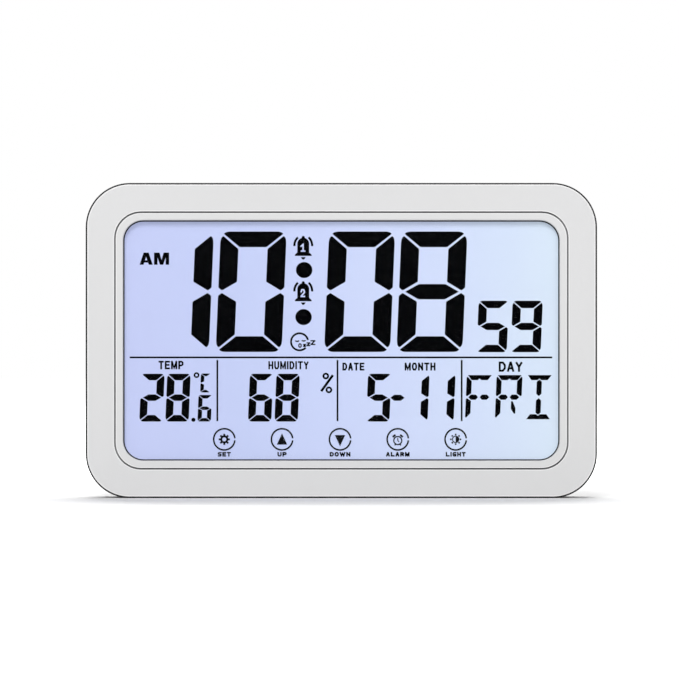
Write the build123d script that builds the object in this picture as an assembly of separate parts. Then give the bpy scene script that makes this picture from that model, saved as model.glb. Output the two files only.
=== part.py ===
from build123d import *
from math import cos, pi, sin, sqrt
import os

# Touch-key alarm clock. It stands on z = 0, faces -Y, and +X is the viewer's right.
# Lengths are millimetres. A depth is measured from the front face towards the back.

# Case
case_width = 165.0
case_height = 101.7
case_corner_radius = 14.3
side_wall = 2.2
face_wall = 1.8
rear_wall = 2.0
front_depth = 13.0
front_edge_radius = 0.8
rear_edge_radius = 3.5
parting_chamfer = 0.25
tongue_wall = 1.0
tongue_length = 1.5
tongue_clearance = 0.15
overrun = 1.0

# Front face
band_width = 9.2
border_width = 2.9
groove_width = 0.55
groove_depth = 0.9
groove_corner_radius = 8.7
window_corner_radius = 6.5
window_edge_radius = 0.4

# Lens, tape and touch film
lens_thickness = 1.5
lens_lap = 2.2
lens_clearance = 0.2
lens_rib_wall = 1.0
tape_thickness = 0.2
tape_margin = 0.3
tape_show = 0.4
film_thickness = 0.2
tail_width = 10.0
tail_inset = 22.8
tail_drop = 2.0

# Display glass
glass_thickness = 1.1
glass_lap = 0.8
contact_ledge = 3.6
polariser_thickness = 0.2
polariser_inset = 0.2

# Backlight
diffuser_thickness = 0.2
guide_thickness = 3.0
reflector_thickness = 0.2
lamp_board_thickness = 0.8
lamp_board_length = 60.0
lamp_tab_width = 4.0
lamp_tab_clearance = 0.2
lamp_depth = 1.0
lamp_length = 3.2
lamp_width = 1.4
lamp_count = 6

# Display holder
holder_wall = 1.2
holder_back = 1.2
holder_clearance = 0.2
ear_radius = 2.6
ear_x = 50.0
standoff_radius = 2.6
standoff_height = 2.0

# Small screws, into plastic
screw_radius = 1.0
screw_head_radius = 1.7
screw_head_height = 1.3
screw_slack = 0.2
holder_screw_length = 6.0
board_screw_reach = 2.6
driver_slot_width = 0.5
driver_slot_depth = 0.6
driver_slot_length = 2.2

# Case screws
case_screw_radius = 1.25
case_screw_head_radius = 2.2
case_screw_head_height = 1.6
case_screw_length = 9.0
case_screw_spacing = 62.0
case_boss_radius = 2.8
case_post_radius = 3.4
case_post_floor = 2.0
boss_wall_lap = 0.4
boss_gap = 0.5
counterbore_slack = 0.25

# Main board
board_thickness = 1.6
board_height = 61.0
board_top_gap = 1.6
board_side_gap = 1.6
board_screw_inset = 5.0
zebra_thickness = 2.0
zebra_clearance = 0.3

# Parts on the board
blob_radius = 7.0
blob_height = 1.6
chip_length = 10.0
chip_width = 4.0
chip_height = 1.5
chip_leg_count = 8
chip_leg_width = 0.5
chip_leg_reach = 1.1
chip_leg_height = 0.3
crystal_radius = 1.0
crystal_length = 6.0
crystal_gap = 3.0
capacitor_radius = 3.2
capacitor_height = 6.5
capacitor_vent_depth = 0.3
capacitor_vent_width = 0.5
buzzer_radius = 6.0
buzzer_height = 6.5
buzzer_port_radius = 1.2
buzzer_port_depth = 1.5
sensor_length = 6.0
sensor_width = 5.0
sensor_height = 2.0
sensor_port_radius = 1.0
sensor_port_depth = 0.8
connector_length = 13.0
connector_width = 4.0
connector_height = 2.4
connector_lift = 1.5

# Places on the main board, as shares of its width from the left and of its height from the bottom
blob_shares = (0.60, 0.62)
chip_shares = (0.80, 0.40)
capacitor_shares = (0.14, 0.86)
buzzer_shares = (0.28, 0.58)
sensor_shares = (0.12, 0.17)

# Batteries, three AAA cells side by side
cell_count = 3
cell_diameter = 10.5
cell_length = 44.5
nub_diameter = 3.8
nub_height = 0.9
cell_edge_radius = 0.5
cell_gap = 0.5
cell_slack = 0.2
nub_slack = 0.05

# Battery bay and contacts
bay_floor = 1.2
bay_gap = 0.3
bay_wall = 2.2
bay_rebate = 1.2
bay_clear_of_leg = 0.5
bay_side_gap = 7.15
contact_thickness = 0.4
contact_width = 8.4
contact_height = 9.0
tab_width = 3.0
tab_reach = 1.8
tab_clearance = 0.15
spring_length = 5.0
spring_wire_radius = 0.3
spring_base_radius = 3.6
spring_tip_radius = 2.0
spring_turns = 4
spring_slack = 0.02
lead_radius = 0.6
lead_bend_radius = 3.0
lead_drop = 4.0
lead_overlap = 6.0
lead_rise = 8.0

# Battery door
door_thickness = 1.6
door_clearance = 0.25
door_seat_gap = 0.1
claw_rim_gap = 0.2
claw_wall = 1.2
claw_width = 8.0
claw_clearance = 0.3
claw_inset = 8.0
claw_top_angle = 66.0
claw_hook_angle = 20.0
latch_width = 9.0
latch_length = 9.0
latch_slot = 0.8
latch_rib_count = 3
latch_rib_width = 0.8
latch_rib_depth = 0.4
notch_width = 15.0
notch_height = 7.0
notch_depth = 1.0
notch_corner_radius = 3.0

# Stand leg
leg_width = 30.0
leg_thickness = 1.6
leg_length = 51.5
leg_heel = 5.0
leg_side_clearance = 0.3
leg_heel_clearance = 0.35
leg_corner_radius = 4.0
leg_rib_height = 1.0
leg_rib_width = 1.4
leg_barrel_radius = 2.2
leg_floor_clearance = 0.4
leg_recess_floor = 1.5
leg_recess_wall = 2.6
pin_radius = 1.0
pin_clearance = 0.05
pin_reach = 2.0
pin_end_clearance = 0.2

# Wall hook, sound holes and vents in the rear cover
keyhole_radius = 4.0
keyhole_slot_width = 4.0
keyhole_rise = 8.0
keyhole_top_gap = 9.0
sound_hole_radius = 1.0
sound_ring_radius = 4.0
sound_ring_count = 6
vent_width = 1.4
vent_height = 12.0
vent_pitch = 3.0
vent_count = 6

# Depths of the display stack, front to back
lens_front = face_wall + tape_thickness
film_front = lens_front + lens_thickness
front_polariser_front = film_front + film_thickness
front_glass_front = front_polariser_front + polariser_thickness
rear_glass_front = front_glass_front + glass_thickness
rear_polariser_front = rear_glass_front + glass_thickness
diffuser_front = rear_polariser_front + polariser_thickness
guide_front = diffuser_front + diffuser_thickness
reflector_front = guide_front + guide_thickness
holder_back_front = reflector_front + reflector_thickness
holder_rear = holder_back_front + holder_back
board_front = holder_rear + standoff_height
board_rear = board_front + board_thickness

# Depths of the battery bay, which set the depth of the case
bay_front = holder_rear + bay_gap
bay_floor_rear = bay_front + bay_floor
cell_depth = bay_floor_rear + cell_slack + cell_diameter / 2
door_front = bay_floor_rear + cell_diameter + 2 * cell_slack
case_depth = door_front + door_thickness
cover_inside = case_depth - rear_wall
front_y = -case_depth / 2

# Front view sizes
middle_z = case_height / 2
window_width = case_width - 2 * (band_width + border_width)
window_height = case_height - 2 * (band_width + border_width)
lens_width = window_width + 2 * lens_lap
lens_height = window_height + 2 * lens_lap
lens_corner_radius = window_corner_radius + lens_lap
glass_width = window_width + 2 * glass_lap
glass_height = window_height + 2 * glass_lap
rear_glass_height = glass_height - contact_ledge
glass_bottom = middle_z - glass_height / 2
glass_top = glass_bottom + glass_height
rear_glass_middle_z = glass_bottom + rear_glass_height / 2
tray_width = glass_width + 2 * holder_clearance
tray_height = glass_height + 2 * holder_clearance
holder_width = tray_width + 2 * holder_wall
holder_height = tray_height + 2 * holder_wall
inner_width = case_width - 2 * side_wall
inner_height = case_height - 2 * side_wall
inner_corner_radius = case_corner_radius - side_wall
rib_height = lens_height + 2 * (lens_clearance + lens_rib_wall)
ear_offset = (rib_height + inner_height) / 4
boss_x = inner_width / 2 - case_boss_radius + boss_wall_lap
boss_top = front_depth - tongue_length - boss_gap

# Leg and recess
leg_tip_z = rear_edge_radius
hinge_z = leg_tip_z + leg_length
hinge_depth = case_depth - leg_barrel_radius
recess_depth = 2 * leg_barrel_radius + leg_floor_clearance
recess_width = leg_width + 2 * leg_side_clearance
recess_top = hinge_z + sqrt(leg_heel**2 + leg_barrel_radius**2) + leg_heel_clearance
recess_outer_width = recess_width + 2 * leg_recess_wall

# Battery bay
cell_pitch = cell_diameter + cell_gap
bay_length = 2 * contact_thickness + nub_slack + cell_length + spring_length
bay_height = cell_count * cell_pitch
bay_right = inner_width / 2 - bay_side_gap - bay_wall
bay_left = bay_right - bay_length
leg_x = bay_left - bay_wall - bay_clear_of_leg - recess_outer_width / 2
bay_bottom = middle_z - bay_height / 2
bay_top = bay_bottom + bay_height
door_left = bay_left - bay_rebate + door_clearance
door_right = bay_right + bay_rebate - door_clearance
door_bottom = bay_bottom - bay_rebate + door_clearance
door_top = bay_top + bay_rebate - door_clearance
left_plate_face = bay_left + contact_thickness
right_plate_face = bay_right - contact_thickness

# Board
board_left = board_side_gap - holder_width / 2
board_right = bay_left - bay_wall - board_side_gap
tail_x = board_right - tail_inset
board_top = middle_z + holder_height / 2 - board_top_gap
board_bottom = board_top - board_height
lead_depth = board_rear + lead_radius


def face_plane(depth):
    """Plane parallel to the front, whose sketch x is X and sketch y is Z."""
    return Plane(origin=(0, front_y + depth, 0), x_dir=(1, 0, 0), z_dir=(0, -1, 0))


def slab(sketch, start, end):
    """Solid with the given front view, between two depths."""
    return extrude(face_plane(start) * sketch, amount=end - start, dir=(0, 1, 0))


def panel(width, height, radius=0, z=None):
    """Front view of a plate centred on the clock, with round corners if a radius is given."""
    centre_z = middle_z if z is None else z
    shape = RectangleRounded(width, height, radius) if radius else Rectangle(width, height)
    return Pos(0, centre_z) * shape


def between(left, right, bottom, top):
    """Front view of a rectangle given by its sides."""
    return Pos((left + right) / 2, (bottom + top) / 2) * Rectangle(right - left, top - bottom)


def rod(radius, x, z, start, end):
    """Round bar along the depth."""
    return slab(Pos(x, z) * Circle(radius), start, end)


def cross_rod(radius, left, right, depth, z):
    """Round bar along X."""
    plane = Plane(origin=(left, front_y + depth, z), x_dir=(0, 1, 0), z_dir=(1, 0, 0))
    return extrude(plane * Circle(radius), amount=right - left)


def side_profile(sketch, left, right):
    """Solid along X from a sketch whose x is the depth and whose y is Z."""
    plane = Plane(origin=(left, front_y, 0), x_dir=(0, 1, 0), z_dir=(1, 0, 0))
    return extrude(plane * sketch, amount=right - left)


def front_face(solid):
    """The foremost face of a solid."""
    return solid.faces().sort_by(Axis.Y)[0]


def rear_face(solid):
    """The rearmost face of a solid."""
    return solid.faces().sort_by(Axis.Y)[-1]



def board_place(shares):
    """Front view place on the main board."""
    x = board_left + shares[0] * (board_right - board_left)
    z = board_bottom + shares[1] * board_height
    return x, z


def four_places(x, offset):
    """Four places, mirrored about the middle of the clock."""
    return [(side * x, middle_z + half * offset) for side in (-1, 1) for half in (-1, 1)]


case_screw_places = four_places(boss_x, case_screw_spacing / 2)
holder_screw_places = four_places(ear_x, ear_offset)
board_screw_places = [
    (x, z)
    for x in (board_left + board_screw_inset, board_right - board_screw_inset)
    for z in (board_bottom + board_screw_inset, board_top - board_screw_inset)
]
case_screw_seat = boss_top + case_post_floor
cell_places = [bay_top - cell_pitch * (row + 1 / 2) for row in range(cell_count)]
tab_front = lead_depth + lead_radius
zebra_left = board_left + 2 * board_screw_inset
zebra_right = board_right - 2 * board_screw_inset
zebra_z = glass_top - contact_ledge / 2
lamp_face = lamp_board_thickness + lamp_depth - tray_width / 2
lamp_tab_places = [middle_z + half * lamp_board_length / 4 for half in (-1, 1)]
guide_left = lamp_face + lamp_tab_clearance
claw_lefts = [door_left + claw_inset, door_right - claw_inset - claw_width]
claw_inner_radius = (rear_wall + claw_rim_gap) / cos(claw_hook_angle * pi / 180)
claw_outer_radius = claw_inner_radius + claw_wall
door_middle_x = (door_left + door_right) / 2
keyhole_z = case_height - side_wall - keyhole_top_gap - keyhole_rise


def make_front_frame():
    """Front shell: face with groove and window, lens rib, and bosses for the two sets of screws."""
    shell = slab(panel(case_width, case_height, case_corner_radius), 0, front_depth)
    shell -= slab(panel(inner_width, inner_height, inner_corner_radius), face_wall, front_depth + overrun)
    shell -= slab(panel(window_width, window_height, window_corner_radius), -overrun, face_wall + overrun)
    shell = fillet(front_face(shell).outer_wire().edges(), front_edge_radius)
    shell = fillet(front_face(shell).inner_wires()[0].edges(), window_edge_radius)
    shell = chamfer(rear_face(shell).outer_wire().edges(), parting_chamfer)

    groove_x = case_width - 2 * band_width
    groove_z = case_height - 2 * band_width
    groove_lip = 2 * groove_width
    groove = panel(groove_x, groove_z, groove_corner_radius)
    groove -= panel(groove_x - groove_lip, groove_z - groove_lip, groove_corner_radius - groove_width)
    shell -= slab(groove, -overrun, groove_depth)

    seat_x = lens_width + 2 * lens_clearance
    seat_z = lens_height + 2 * lens_clearance
    seat_radius = lens_corner_radius + lens_clearance
    rib = panel(seat_x + 2 * lens_rib_wall, rib_height, seat_radius + lens_rib_wall)
    rib -= panel(seat_x, seat_z, seat_radius)
    shell += slab(rib, face_wall, film_front)

    for x, z in case_screw_places:
        shell += rod(case_boss_radius, x, z, face_wall, boss_top)
        shell -= rod(case_screw_radius, x, z, case_screw_seat - case_screw_length - boss_gap, boss_top)
    for x, z in holder_screw_places:
        shell += rod(ear_radius, x, z, face_wall, holder_back_front)
        shell -= rod(screw_radius, x, z, holder_rear - holder_screw_length - boss_gap, holder_back_front)
    return shell


def claw_slot(left):
    """Room for one door claw, under the rim and through the ledge of the bay."""
    disc = Pos(case_depth, door_bottom) * Circle(claw_outer_radius + claw_clearance)
    far = case_depth + door_bottom
    under_rim = disc & between(-far, cover_inside, -far, far)
    through_ledge = disc & between(-far, door_front, door_bottom - door_clearance, far)
    return side_profile(under_rim + through_ledge, left - claw_clearance, left + claw_width + claw_clearance)


def tab_slot(left, right, z):
    """Slot through an end wall of the bay for a contact's tab."""
    half = tab_width / 2 + tab_clearance
    slot = between(left, right, z - half, z + half)
    return slab(slot, tab_front - tab_clearance, tab_front + contact_thickness + tab_clearance)


def make_rear_cover():
    """Rear shell with tongue, screw posts, battery bay, leg recess, keyhole, sound holes and vents."""
    shell = slab(panel(case_width, case_height, case_corner_radius), front_depth, case_depth)
    shell = fillet(rear_face(shell).edges(), rear_edge_radius)
    shell = chamfer(front_face(shell).edges(), parting_chamfer)
    shell -= slab(panel(inner_width, inner_height, inner_corner_radius), front_depth - overrun, cover_inside)

    inset = tongue_clearance + tongue_wall
    fit = panel(
        inner_width - 2 * tongue_clearance,
        inner_height - 2 * tongue_clearance,
        inner_corner_radius - tongue_clearance,
    )
    inside = panel(inner_width - 2 * inset, inner_height - 2 * inset, inner_corner_radius - inset)
    step = panel(inner_width, inner_height, inner_corner_radius) - inside
    shell += slab(step, front_depth, front_depth + tongue_length)
    shell += slab(fit - inside, front_depth - tongue_length, front_depth)

    for x, z in case_screw_places:
        post = Pos(x, z) * Circle(case_post_radius)
        shell += slab(post, front_depth, cover_inside)
        shell += slab(post & fit, boss_top, front_depth)
        shell -= rod(case_screw_radius + screw_slack, x, z, boss_top - overrun, case_screw_seat)
        shell -= rod(case_screw_head_radius + counterbore_slack, x, z, case_screw_seat, case_depth + overrun)

    bay_outside = between(
        bay_left - bay_wall, bay_right + bay_wall, bay_bottom - bay_wall, bay_top + bay_wall
    )
    shell += slab(bay_outside, bay_front, cover_inside)
    rebate = between(
        bay_left - bay_rebate, bay_right + bay_rebate, bay_bottom - bay_rebate, bay_top + bay_rebate
    )
    shell -= slab(between(bay_left, bay_right, bay_bottom, bay_top), bay_floor_rear, case_depth + overrun)
    shell -= slab(rebate, door_front - door_seat_gap, case_depth + overrun)
    for left in claw_lefts:
        shell -= claw_slot(left)
    shell -= tab_slot(bay_left - bay_wall - overrun, bay_left, cell_places[0])
    shell -= tab_slot(bay_right, bay_right + bay_wall + overrun, cell_places[-1])
    notch = Pos(door_middle_x, bay_top) * RectangleRounded(notch_width, 2 * notch_height, notch_corner_radius)
    shell -= slab(notch, case_depth - notch_depth, case_depth + overrun)

    recess_front = case_depth - recess_depth
    block_top = recess_top + leg_recess_floor
    block_left = leg_x - recess_outer_width / 2
    block = between(block_left, block_left + recess_outer_width, side_wall / 2, block_top)
    shell += slab(block, recess_front - leg_recess_floor, cover_inside)
    recess = between(leg_x - recess_width / 2, leg_x + recess_width / 2, -overrun, recess_top)
    shell -= slab(recess, recess_front, case_depth + overrun)
    pin_room = recess_width / 2 + pin_reach + pin_end_clearance
    hole_radius = pin_radius + pin_clearance
    shell -= cross_rod(hole_radius, leg_x - pin_room, leg_x + pin_room, hinge_depth, hinge_z)

    half_slot = keyhole_slot_width / 2
    keyhole = Pos(0, keyhole_z) * Circle(keyhole_radius)
    keyhole += between(-half_slot, half_slot, keyhole_z, keyhole_z + keyhole_rise)
    keyhole += Pos(0, keyhole_z + keyhole_rise) * Circle(half_slot)
    shell -= slab(keyhole, cover_inside - overrun, case_depth + overrun)

    sound_x, sound_z = board_place(buzzer_shares)
    sound = Pos(sound_x, sound_z) * Circle(sound_hole_radius)
    for place in PolarLocations(sound_ring_radius, sound_ring_count):
        sound += Pos(sound_x, sound_z) * place * Circle(sound_hole_radius)
    vent_x, vent_z = board_place(sensor_shares)
    for index in range(vent_count):
        offset = (index - (vent_count - 1) / 2) * vent_pitch
        sound += Pos(vent_x + offset, vent_z) * SlotOverall(vent_height, vent_width, rotation=90)
    shell -= slab(sound, cover_inside - overrun, case_depth + overrun)
    return shell


def make_lens_tape():
    """Black adhesive ring between the face and the lens, which shows as a thin line round the window."""
    outside = panel(
        lens_width - 2 * tape_margin, lens_height - 2 * tape_margin, lens_corner_radius - tape_margin
    )
    inside = panel(
        window_width - 2 * tape_show, window_height - 2 * tape_show, window_corner_radius - tape_show
    )
    return slab(outside - inside, face_wall, lens_front)


def make_touch_film():
    """Clear film with touch pads, and the tail that folds under the holder and up to the board."""
    left = tail_x - tail_width / 2
    right = tail_x + tail_width / 2
    low = middle_z - holder_height / 2 - tail_drop
    tail_front = board_rear + connector_height / 2
    film = slab(panel(glass_width, glass_height), film_front, film_front + film_thickness)
    film += slab(between(left, right, low, middle_z), film_front, film_front + film_thickness)
    film += slab(between(left, right, low, low + film_thickness), film_front, tail_front + film_thickness)
    rise = between(left, right, low, board_bottom + connector_lift)
    film += slab(rise, tail_front, tail_front + film_thickness)
    return film


def make_layer(width, height, z, start, thickness):
    """One flat layer of the display."""
    return slab(panel(width, height, z=z), start, start + thickness)


def make_display_layers():
    """Polarisers and glasses of the display, front to back, by node name."""
    front_x = glass_width - 2 * polariser_inset
    front_z = glass_height - 2 * polariser_inset
    rear_z = rear_glass_height - 2 * polariser_inset
    low = rear_glass_middle_z
    layers = {
        "lcd_front_polariser": (front_x, front_z, middle_z, front_polariser_front, polariser_thickness),
        "lcd_front_glass": (glass_width, glass_height, middle_z, front_glass_front, glass_thickness),
        "lcd_rear_glass": (glass_width, rear_glass_height, low, rear_glass_front, glass_thickness),
        "lcd_rear_polariser": (front_x, rear_z, low, rear_polariser_front, polariser_thickness),
        "diffuser_sheet": (glass_width, rear_glass_height, low, diffuser_front, diffuser_thickness),
    }
    return {name: make_layer(*sizes) for name, sizes in layers.items()}


def make_light_guide():
    """Clear plate that spreads the light from the lamps at its left edge."""
    plate = between(guide_left, glass_width / 2, glass_bottom, glass_bottom + rear_glass_height)
    return slab(plate, guide_front, reflector_front)


def make_reflector():
    """White sheet behind the light guide."""
    plate = between(guide_left, glass_width / 2, glass_bottom, glass_bottom + rear_glass_height)
    return slab(plate, reflector_front, holder_back_front)


def make_lamp_board():
    """Narrow board along the left wall of the holder, with two tabs to the main board."""
    left = -tray_width / 2
    right = left + lamp_board_thickness
    half = lamp_board_length / 2
    board = slab(between(left, right, middle_z - half, middle_z + half), guide_front, holder_back_front)
    for z in lamp_tab_places:
        tab = between(left, right, z - lamp_tab_width / 2, z + lamp_tab_width / 2)
        board += slab(tab, guide_front, board_front)
    return board


def make_lamps():
    """Row of light emitting diodes on the lamp board."""
    depth = guide_front + (guide_thickness - lamp_width) / 2
    pitch = lamp_board_length / lamp_count
    lamps = []
    for index in range(lamp_count):
        z = middle_z + (index - (lamp_count - 1) / 2) * pitch
        front = between(lamp_face - lamp_depth, lamp_face, z - lamp_length / 2, z + lamp_length / 2)
        lamps.append(slab(front, depth, depth + lamp_width))
    return Compound(lamps)


def make_holder():
    """Tray for the display stack, with ears to the front frame and standoffs for the board."""
    tray = slab(panel(holder_width, holder_height), front_polariser_front, holder_rear)
    tray -= slab(panel(tray_width, tray_height), front_polariser_front - overrun, holder_back_front)
    for x, z in holder_screw_places:
        ear = Pos(x, z) * Circle(ear_radius)
        ear += between(x - ear_radius, x + ear_radius, min(z, middle_z), max(z, middle_z))
        tray += slab(ear, holder_back_front, holder_rear)
        tray -= rod(screw_radius + screw_slack, x, z, holder_back_front - overrun, holder_rear + overrun)
    for x, z in board_screw_places:
        tray += rod(standoff_radius, x, z, holder_rear, board_front)
        tray -= rod(screw_radius, x, z, board_front - board_screw_reach, board_front)
    half = zebra_thickness / 2 + zebra_clearance
    strip_left = zebra_left - zebra_clearance
    strip_right = zebra_right + zebra_clearance
    slots = between(strip_left, strip_right, zebra_z - half, zebra_z + half)
    lamp_left = -tray_width / 2
    lamp_half = lamp_tab_width / 2 + lamp_tab_clearance
    for z in lamp_tab_places:
        lamp_right = lamp_left + lamp_board_thickness + lamp_tab_clearance
        slots += between(lamp_left - lamp_tab_clearance, lamp_right, z - lamp_half, z + lamp_half)
    tray -= slab(slots, holder_back_front - overrun, holder_rear + overrun)
    return tray


def make_zebra():
    """Rubber contact strip from the ledge of the front glass to the main board."""
    half = zebra_thickness / 2
    strip = between(zebra_left, zebra_right, zebra_z - half, zebra_z + half)
    return slab(strip, rear_glass_front, board_front)


def make_screws(places, seat, length, radius, head_radius, head_height):
    """Pan head screws from the rear, with a cross slot, one solid at each place."""
    cross = Rectangle(driver_slot_length, driver_slot_width)
    cross += Rectangle(driver_slot_width, driver_slot_length)
    screws = []
    for x, z in places:
        screw = rod(radius, x, z, seat - length, seat) + rod(head_radius, x, z, seat, seat + head_height)
        screw -= slab(Pos(x, z) * cross, seat + head_height - driver_slot_depth, seat + head_height + overrun)
        screws.append(screw.solid())
    return Compound(screws)


def make_main_board():
    """Circuit board on the standoffs of the holder."""
    board = slab(between(board_left, board_right, board_bottom, board_top), board_front, board_rear)
    for x, z in board_screw_places:
        board -= rod(screw_radius + screw_slack, x, z, board_front - overrun, board_rear + overrun)
    return board


def make_blob():
    """Domed drop of resin over the controller."""
    x, z = board_place(blob_shares)
    drop = rod(blob_radius, x, z, board_rear, board_rear + blob_height)
    return fillet(rear_face(drop).edges(), blob_height / 2)


def make_touch_chip():
    """Touch controller with a row of legs along both long sides."""
    x, z = board_place(chip_shares)
    body = slab(Pos(x, z) * Rectangle(chip_length, chip_width), board_rear, board_rear + chip_height)
    pitch = chip_length / chip_leg_count
    for index in range(chip_leg_count):
        leg_x = x + (index - (chip_leg_count - 1) / 2) * pitch
        leg = Pos(leg_x, z) * Rectangle(chip_leg_width, chip_width + 2 * chip_leg_reach)
        body += slab(leg, board_rear, board_rear + chip_leg_height)
    return body


def make_crystal():
    """Watch crystal lying on the board beside the controller."""
    blob_x, z = board_place(blob_shares)
    x = blob_x + blob_radius + crystal_gap + crystal_radius
    plane = Plane(origin=(x, front_y + board_rear + crystal_radius, z), x_dir=(1, 0, 0), z_dir=(0, 0, 1))
    return extrude(plane * Circle(crystal_radius), amount=crystal_length)


def make_capacitor():
    """Round smoothing capacitor with a scored top."""
    x, z = board_place(capacitor_shares)
    top = board_rear + capacitor_height
    can = rod(capacitor_radius, x, z, board_rear, top)
    score = Rectangle(capacitor_radius, capacitor_vent_width)
    score += Rectangle(capacitor_vent_width, capacitor_radius)
    return can - slab(Pos(x, z) * score, top - capacitor_vent_depth, top + overrun)


def make_buzzer():
    """Round sounder with its port towards the sound holes."""
    x, z = board_place(buzzer_shares)
    top = board_rear + buzzer_height
    can = rod(buzzer_radius, x, z, board_rear, top)
    return can - rod(buzzer_port_radius, x, z, top - buzzer_port_depth, top + overrun)


def make_climate_sensor():
    """Temperature and humidity sensor behind the vents."""
    x, z = board_place(sensor_shares)
    top = board_rear + sensor_height
    body = slab(Pos(x, z) * Rectangle(sensor_length, sensor_width), board_rear, top)
    return body - rod(sensor_port_radius, x, z, top - sensor_port_depth, top + overrun)


def make_touch_connector():
    """Connector that takes the end of the touch film's tail."""
    low = board_bottom + connector_lift
    body = between(tail_x - connector_length / 2, tail_x + connector_length / 2, low, low + connector_width)
    return slab(body, board_rear, board_rear + connector_height)


def make_cell(z, nub_left):
    """One cell along X, with its nub to the left or to the right."""
    if nub_left:
        nub_end = left_plate_face + nub_slack
        shoulder = nub_end + nub_height
        left, right = shoulder, nub_end + cell_length
    else:
        nub_end = right_plate_face - nub_slack
        shoulder = nub_end - nub_height
        left, right = nub_end - cell_length, shoulder
    body = cross_rod(cell_diameter / 2, left, right, cell_depth, z)
    body = fillet(body.edges().filter_by(GeomType.CIRCLE), cell_edge_radius)
    return body + cross_rod(nub_diameter / 2, min(nub_end, shoulder), max(nub_end, shoulder), cell_depth, z)


def contact_plate(left, bottom, top):
    """Flat contact on an end wall of the bay."""
    half = contact_height / 2
    return slab(between(left, left + contact_thickness, bottom, top), cell_depth - half, cell_depth + half)


def make_contact(at_left, first, last):
    """Contact that spans the cells from first to last at one end of the bay."""
    left = bay_left if at_left else right_plate_face
    half = contact_width / 2
    return contact_plate(left, cell_places[last] - half, cell_places[first] + half)


def contact_tab(left, right, z):
    """Solder tab that passes through the end wall."""
    tab = between(left, right, z - tab_width / 2, z + tab_width / 2)
    return slab(tab, tab_front, tab_front + contact_thickness)


def spring_point(z, plate_x, way, turn):
    """Point and direction on the wire of a cone spring after a number of turns."""
    share = turn / spring_turns
    inset = spring_wire_radius + spring_slack
    rise = spring_length - 2 * inset
    radius = spring_base_radius + (spring_tip_radius - spring_base_radius) * share
    angle = 2 * pi * turn
    point = Vector(
        plate_x + way * (inset + rise * share),
        front_y + cell_depth + radius * cos(angle),
        z + radius * sin(angle),
    )
    narrowing = (spring_tip_radius - spring_base_radius) / (2 * pi * spring_turns)
    direction = Vector(
        way * rise / (2 * pi * spring_turns),
        narrowing * cos(angle) - radius * sin(angle),
        narrowing * sin(angle) + radius * cos(angle),
    )
    return point, direction.normalized()


def biarc(start, start_way, end, end_way):
    """Two tangent arcs from one point and direction to the next."""
    chord = end - start
    ways = start_way + end_way
    square = ways.dot(ways) - 2 * 2
    linear = -2 * chord.dot(ways)
    reach = (-linear - sqrt(linear**2 - 4 * square * chord.dot(chord))) / (2 * square)
    first = start + start_way * reach
    last = end - end_way * reach
    joint = (first + last) * (1 / 2)
    joint_way = (last - first).normalized()
    return [TangentArc(start, joint, tangent=start_way), TangentArc(joint, end, tangent=joint_way)]


def make_spring(z, plate_x, way):
    """Cone spring between a contact and the flat end of a cell."""
    quarters = [spring_point(z, plate_x, way, index / 4) for index in range(4 * spring_turns + 1)]
    arcs = []
    for (start, start_way), (end, end_way) in zip(quarters, quarters[1:]):
        arcs += biarc(start, start_way, end, end_way)
    start, start_way = quarters[0]
    section = Plane(origin=start, z_dir=start_way) * Circle(spring_wire_radius)
    return sweep(section, path=Wire(arcs))


def spring_gap():
    """Least gap between neighbouring turns of a spring, measured on points of its wire."""
    steps = 48
    points = [spring_point(0, 0, 1, index / steps)[0] for index in range(steps * spring_turns + 1)]
    return min(
        (points[late] - points[early]).length - 2 * spring_wire_radius
        for early in range(len(points))
        for late in range(early + steps // 2, len(points))
    )


def make_springs():
    """The three cone springs, one at the flat end of each cell."""
    springs = []
    for row, z in enumerate(cell_places):
        nub_left = row % 2 == 0
        plate_x = right_plate_face if nub_left else left_plate_face
        springs.append(make_spring(z, plate_x, -1 if nub_left else 1).solid())
    return Compound(springs)


def make_positive_lead():
    """Short wire from the positive tab to the board."""
    left = board_right - lead_overlap
    right = bay_left - bay_wall - tab_clearance
    return cross_rod(lead_radius, left, right, lead_depth, cell_places[0])


def make_negative_lead():
    """Wire from the negative tab, round the bay and up to the board."""
    tab_x = bay_right + bay_wall + tab_reach / 2
    low = bay_bottom - bay_wall - lead_drop
    end_x = board_right - 2 * lead_overlap
    depth = front_y + lead_depth
    route = [
        (tab_x, depth, cell_places[-1] + tab_width / 2),
        (tab_x, depth, low),
        (end_x, depth, low),
        (end_x, depth, low + lead_rise),
    ]
    path = FilletPolyline(*route, radius=lead_bend_radius)
    section = Plane(origin=route[0], z_dir=(0, 0, -1)) * Circle(lead_radius)
    return sweep(section, path=path)


def make_battery_door():
    """Door over the bay, with claws that hook under the rim and a spring latch at the top."""
    door = slab(between(door_left, door_right, door_bottom, door_top), door_front, case_depth)
    for side in (-1, 1):
        slot_x = door_middle_x + side * (latch_width + latch_slot) / 2
        slot = between(
            slot_x - latch_slot / 2, slot_x + latch_slot / 2, door_top - latch_length, door_top + overrun
        )
        door -= slab(slot, door_front - overrun, case_depth + overrun)
    for index in range(latch_rib_count):
        rib_z = door_top - latch_length * (index + 1) / (latch_rib_count + 1)
        rib = Pos(door_middle_x, rib_z) * SlotOverall(latch_width - 2 * latch_rib_width, latch_rib_width)
        door -= slab(rib, case_depth - latch_rib_depth, case_depth + overrun)

    ring = Circle(claw_outer_radius) - Circle(claw_inner_radius)
    reach = 3 * claw_outer_radius
    corners = [(0, 0)]
    for angle in (-claw_hook_angle, claw_top_angle):
        turn = angle * pi / 180
        corners.append((-reach * cos(turn), reach * sin(turn)))
    claw = ring & make_face(Polyline(*corners, close=True))
    for left in claw_lefts:
        door += side_profile(Pos(case_depth, door_bottom) * claw, left, left + claw_width)
    return door


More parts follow.
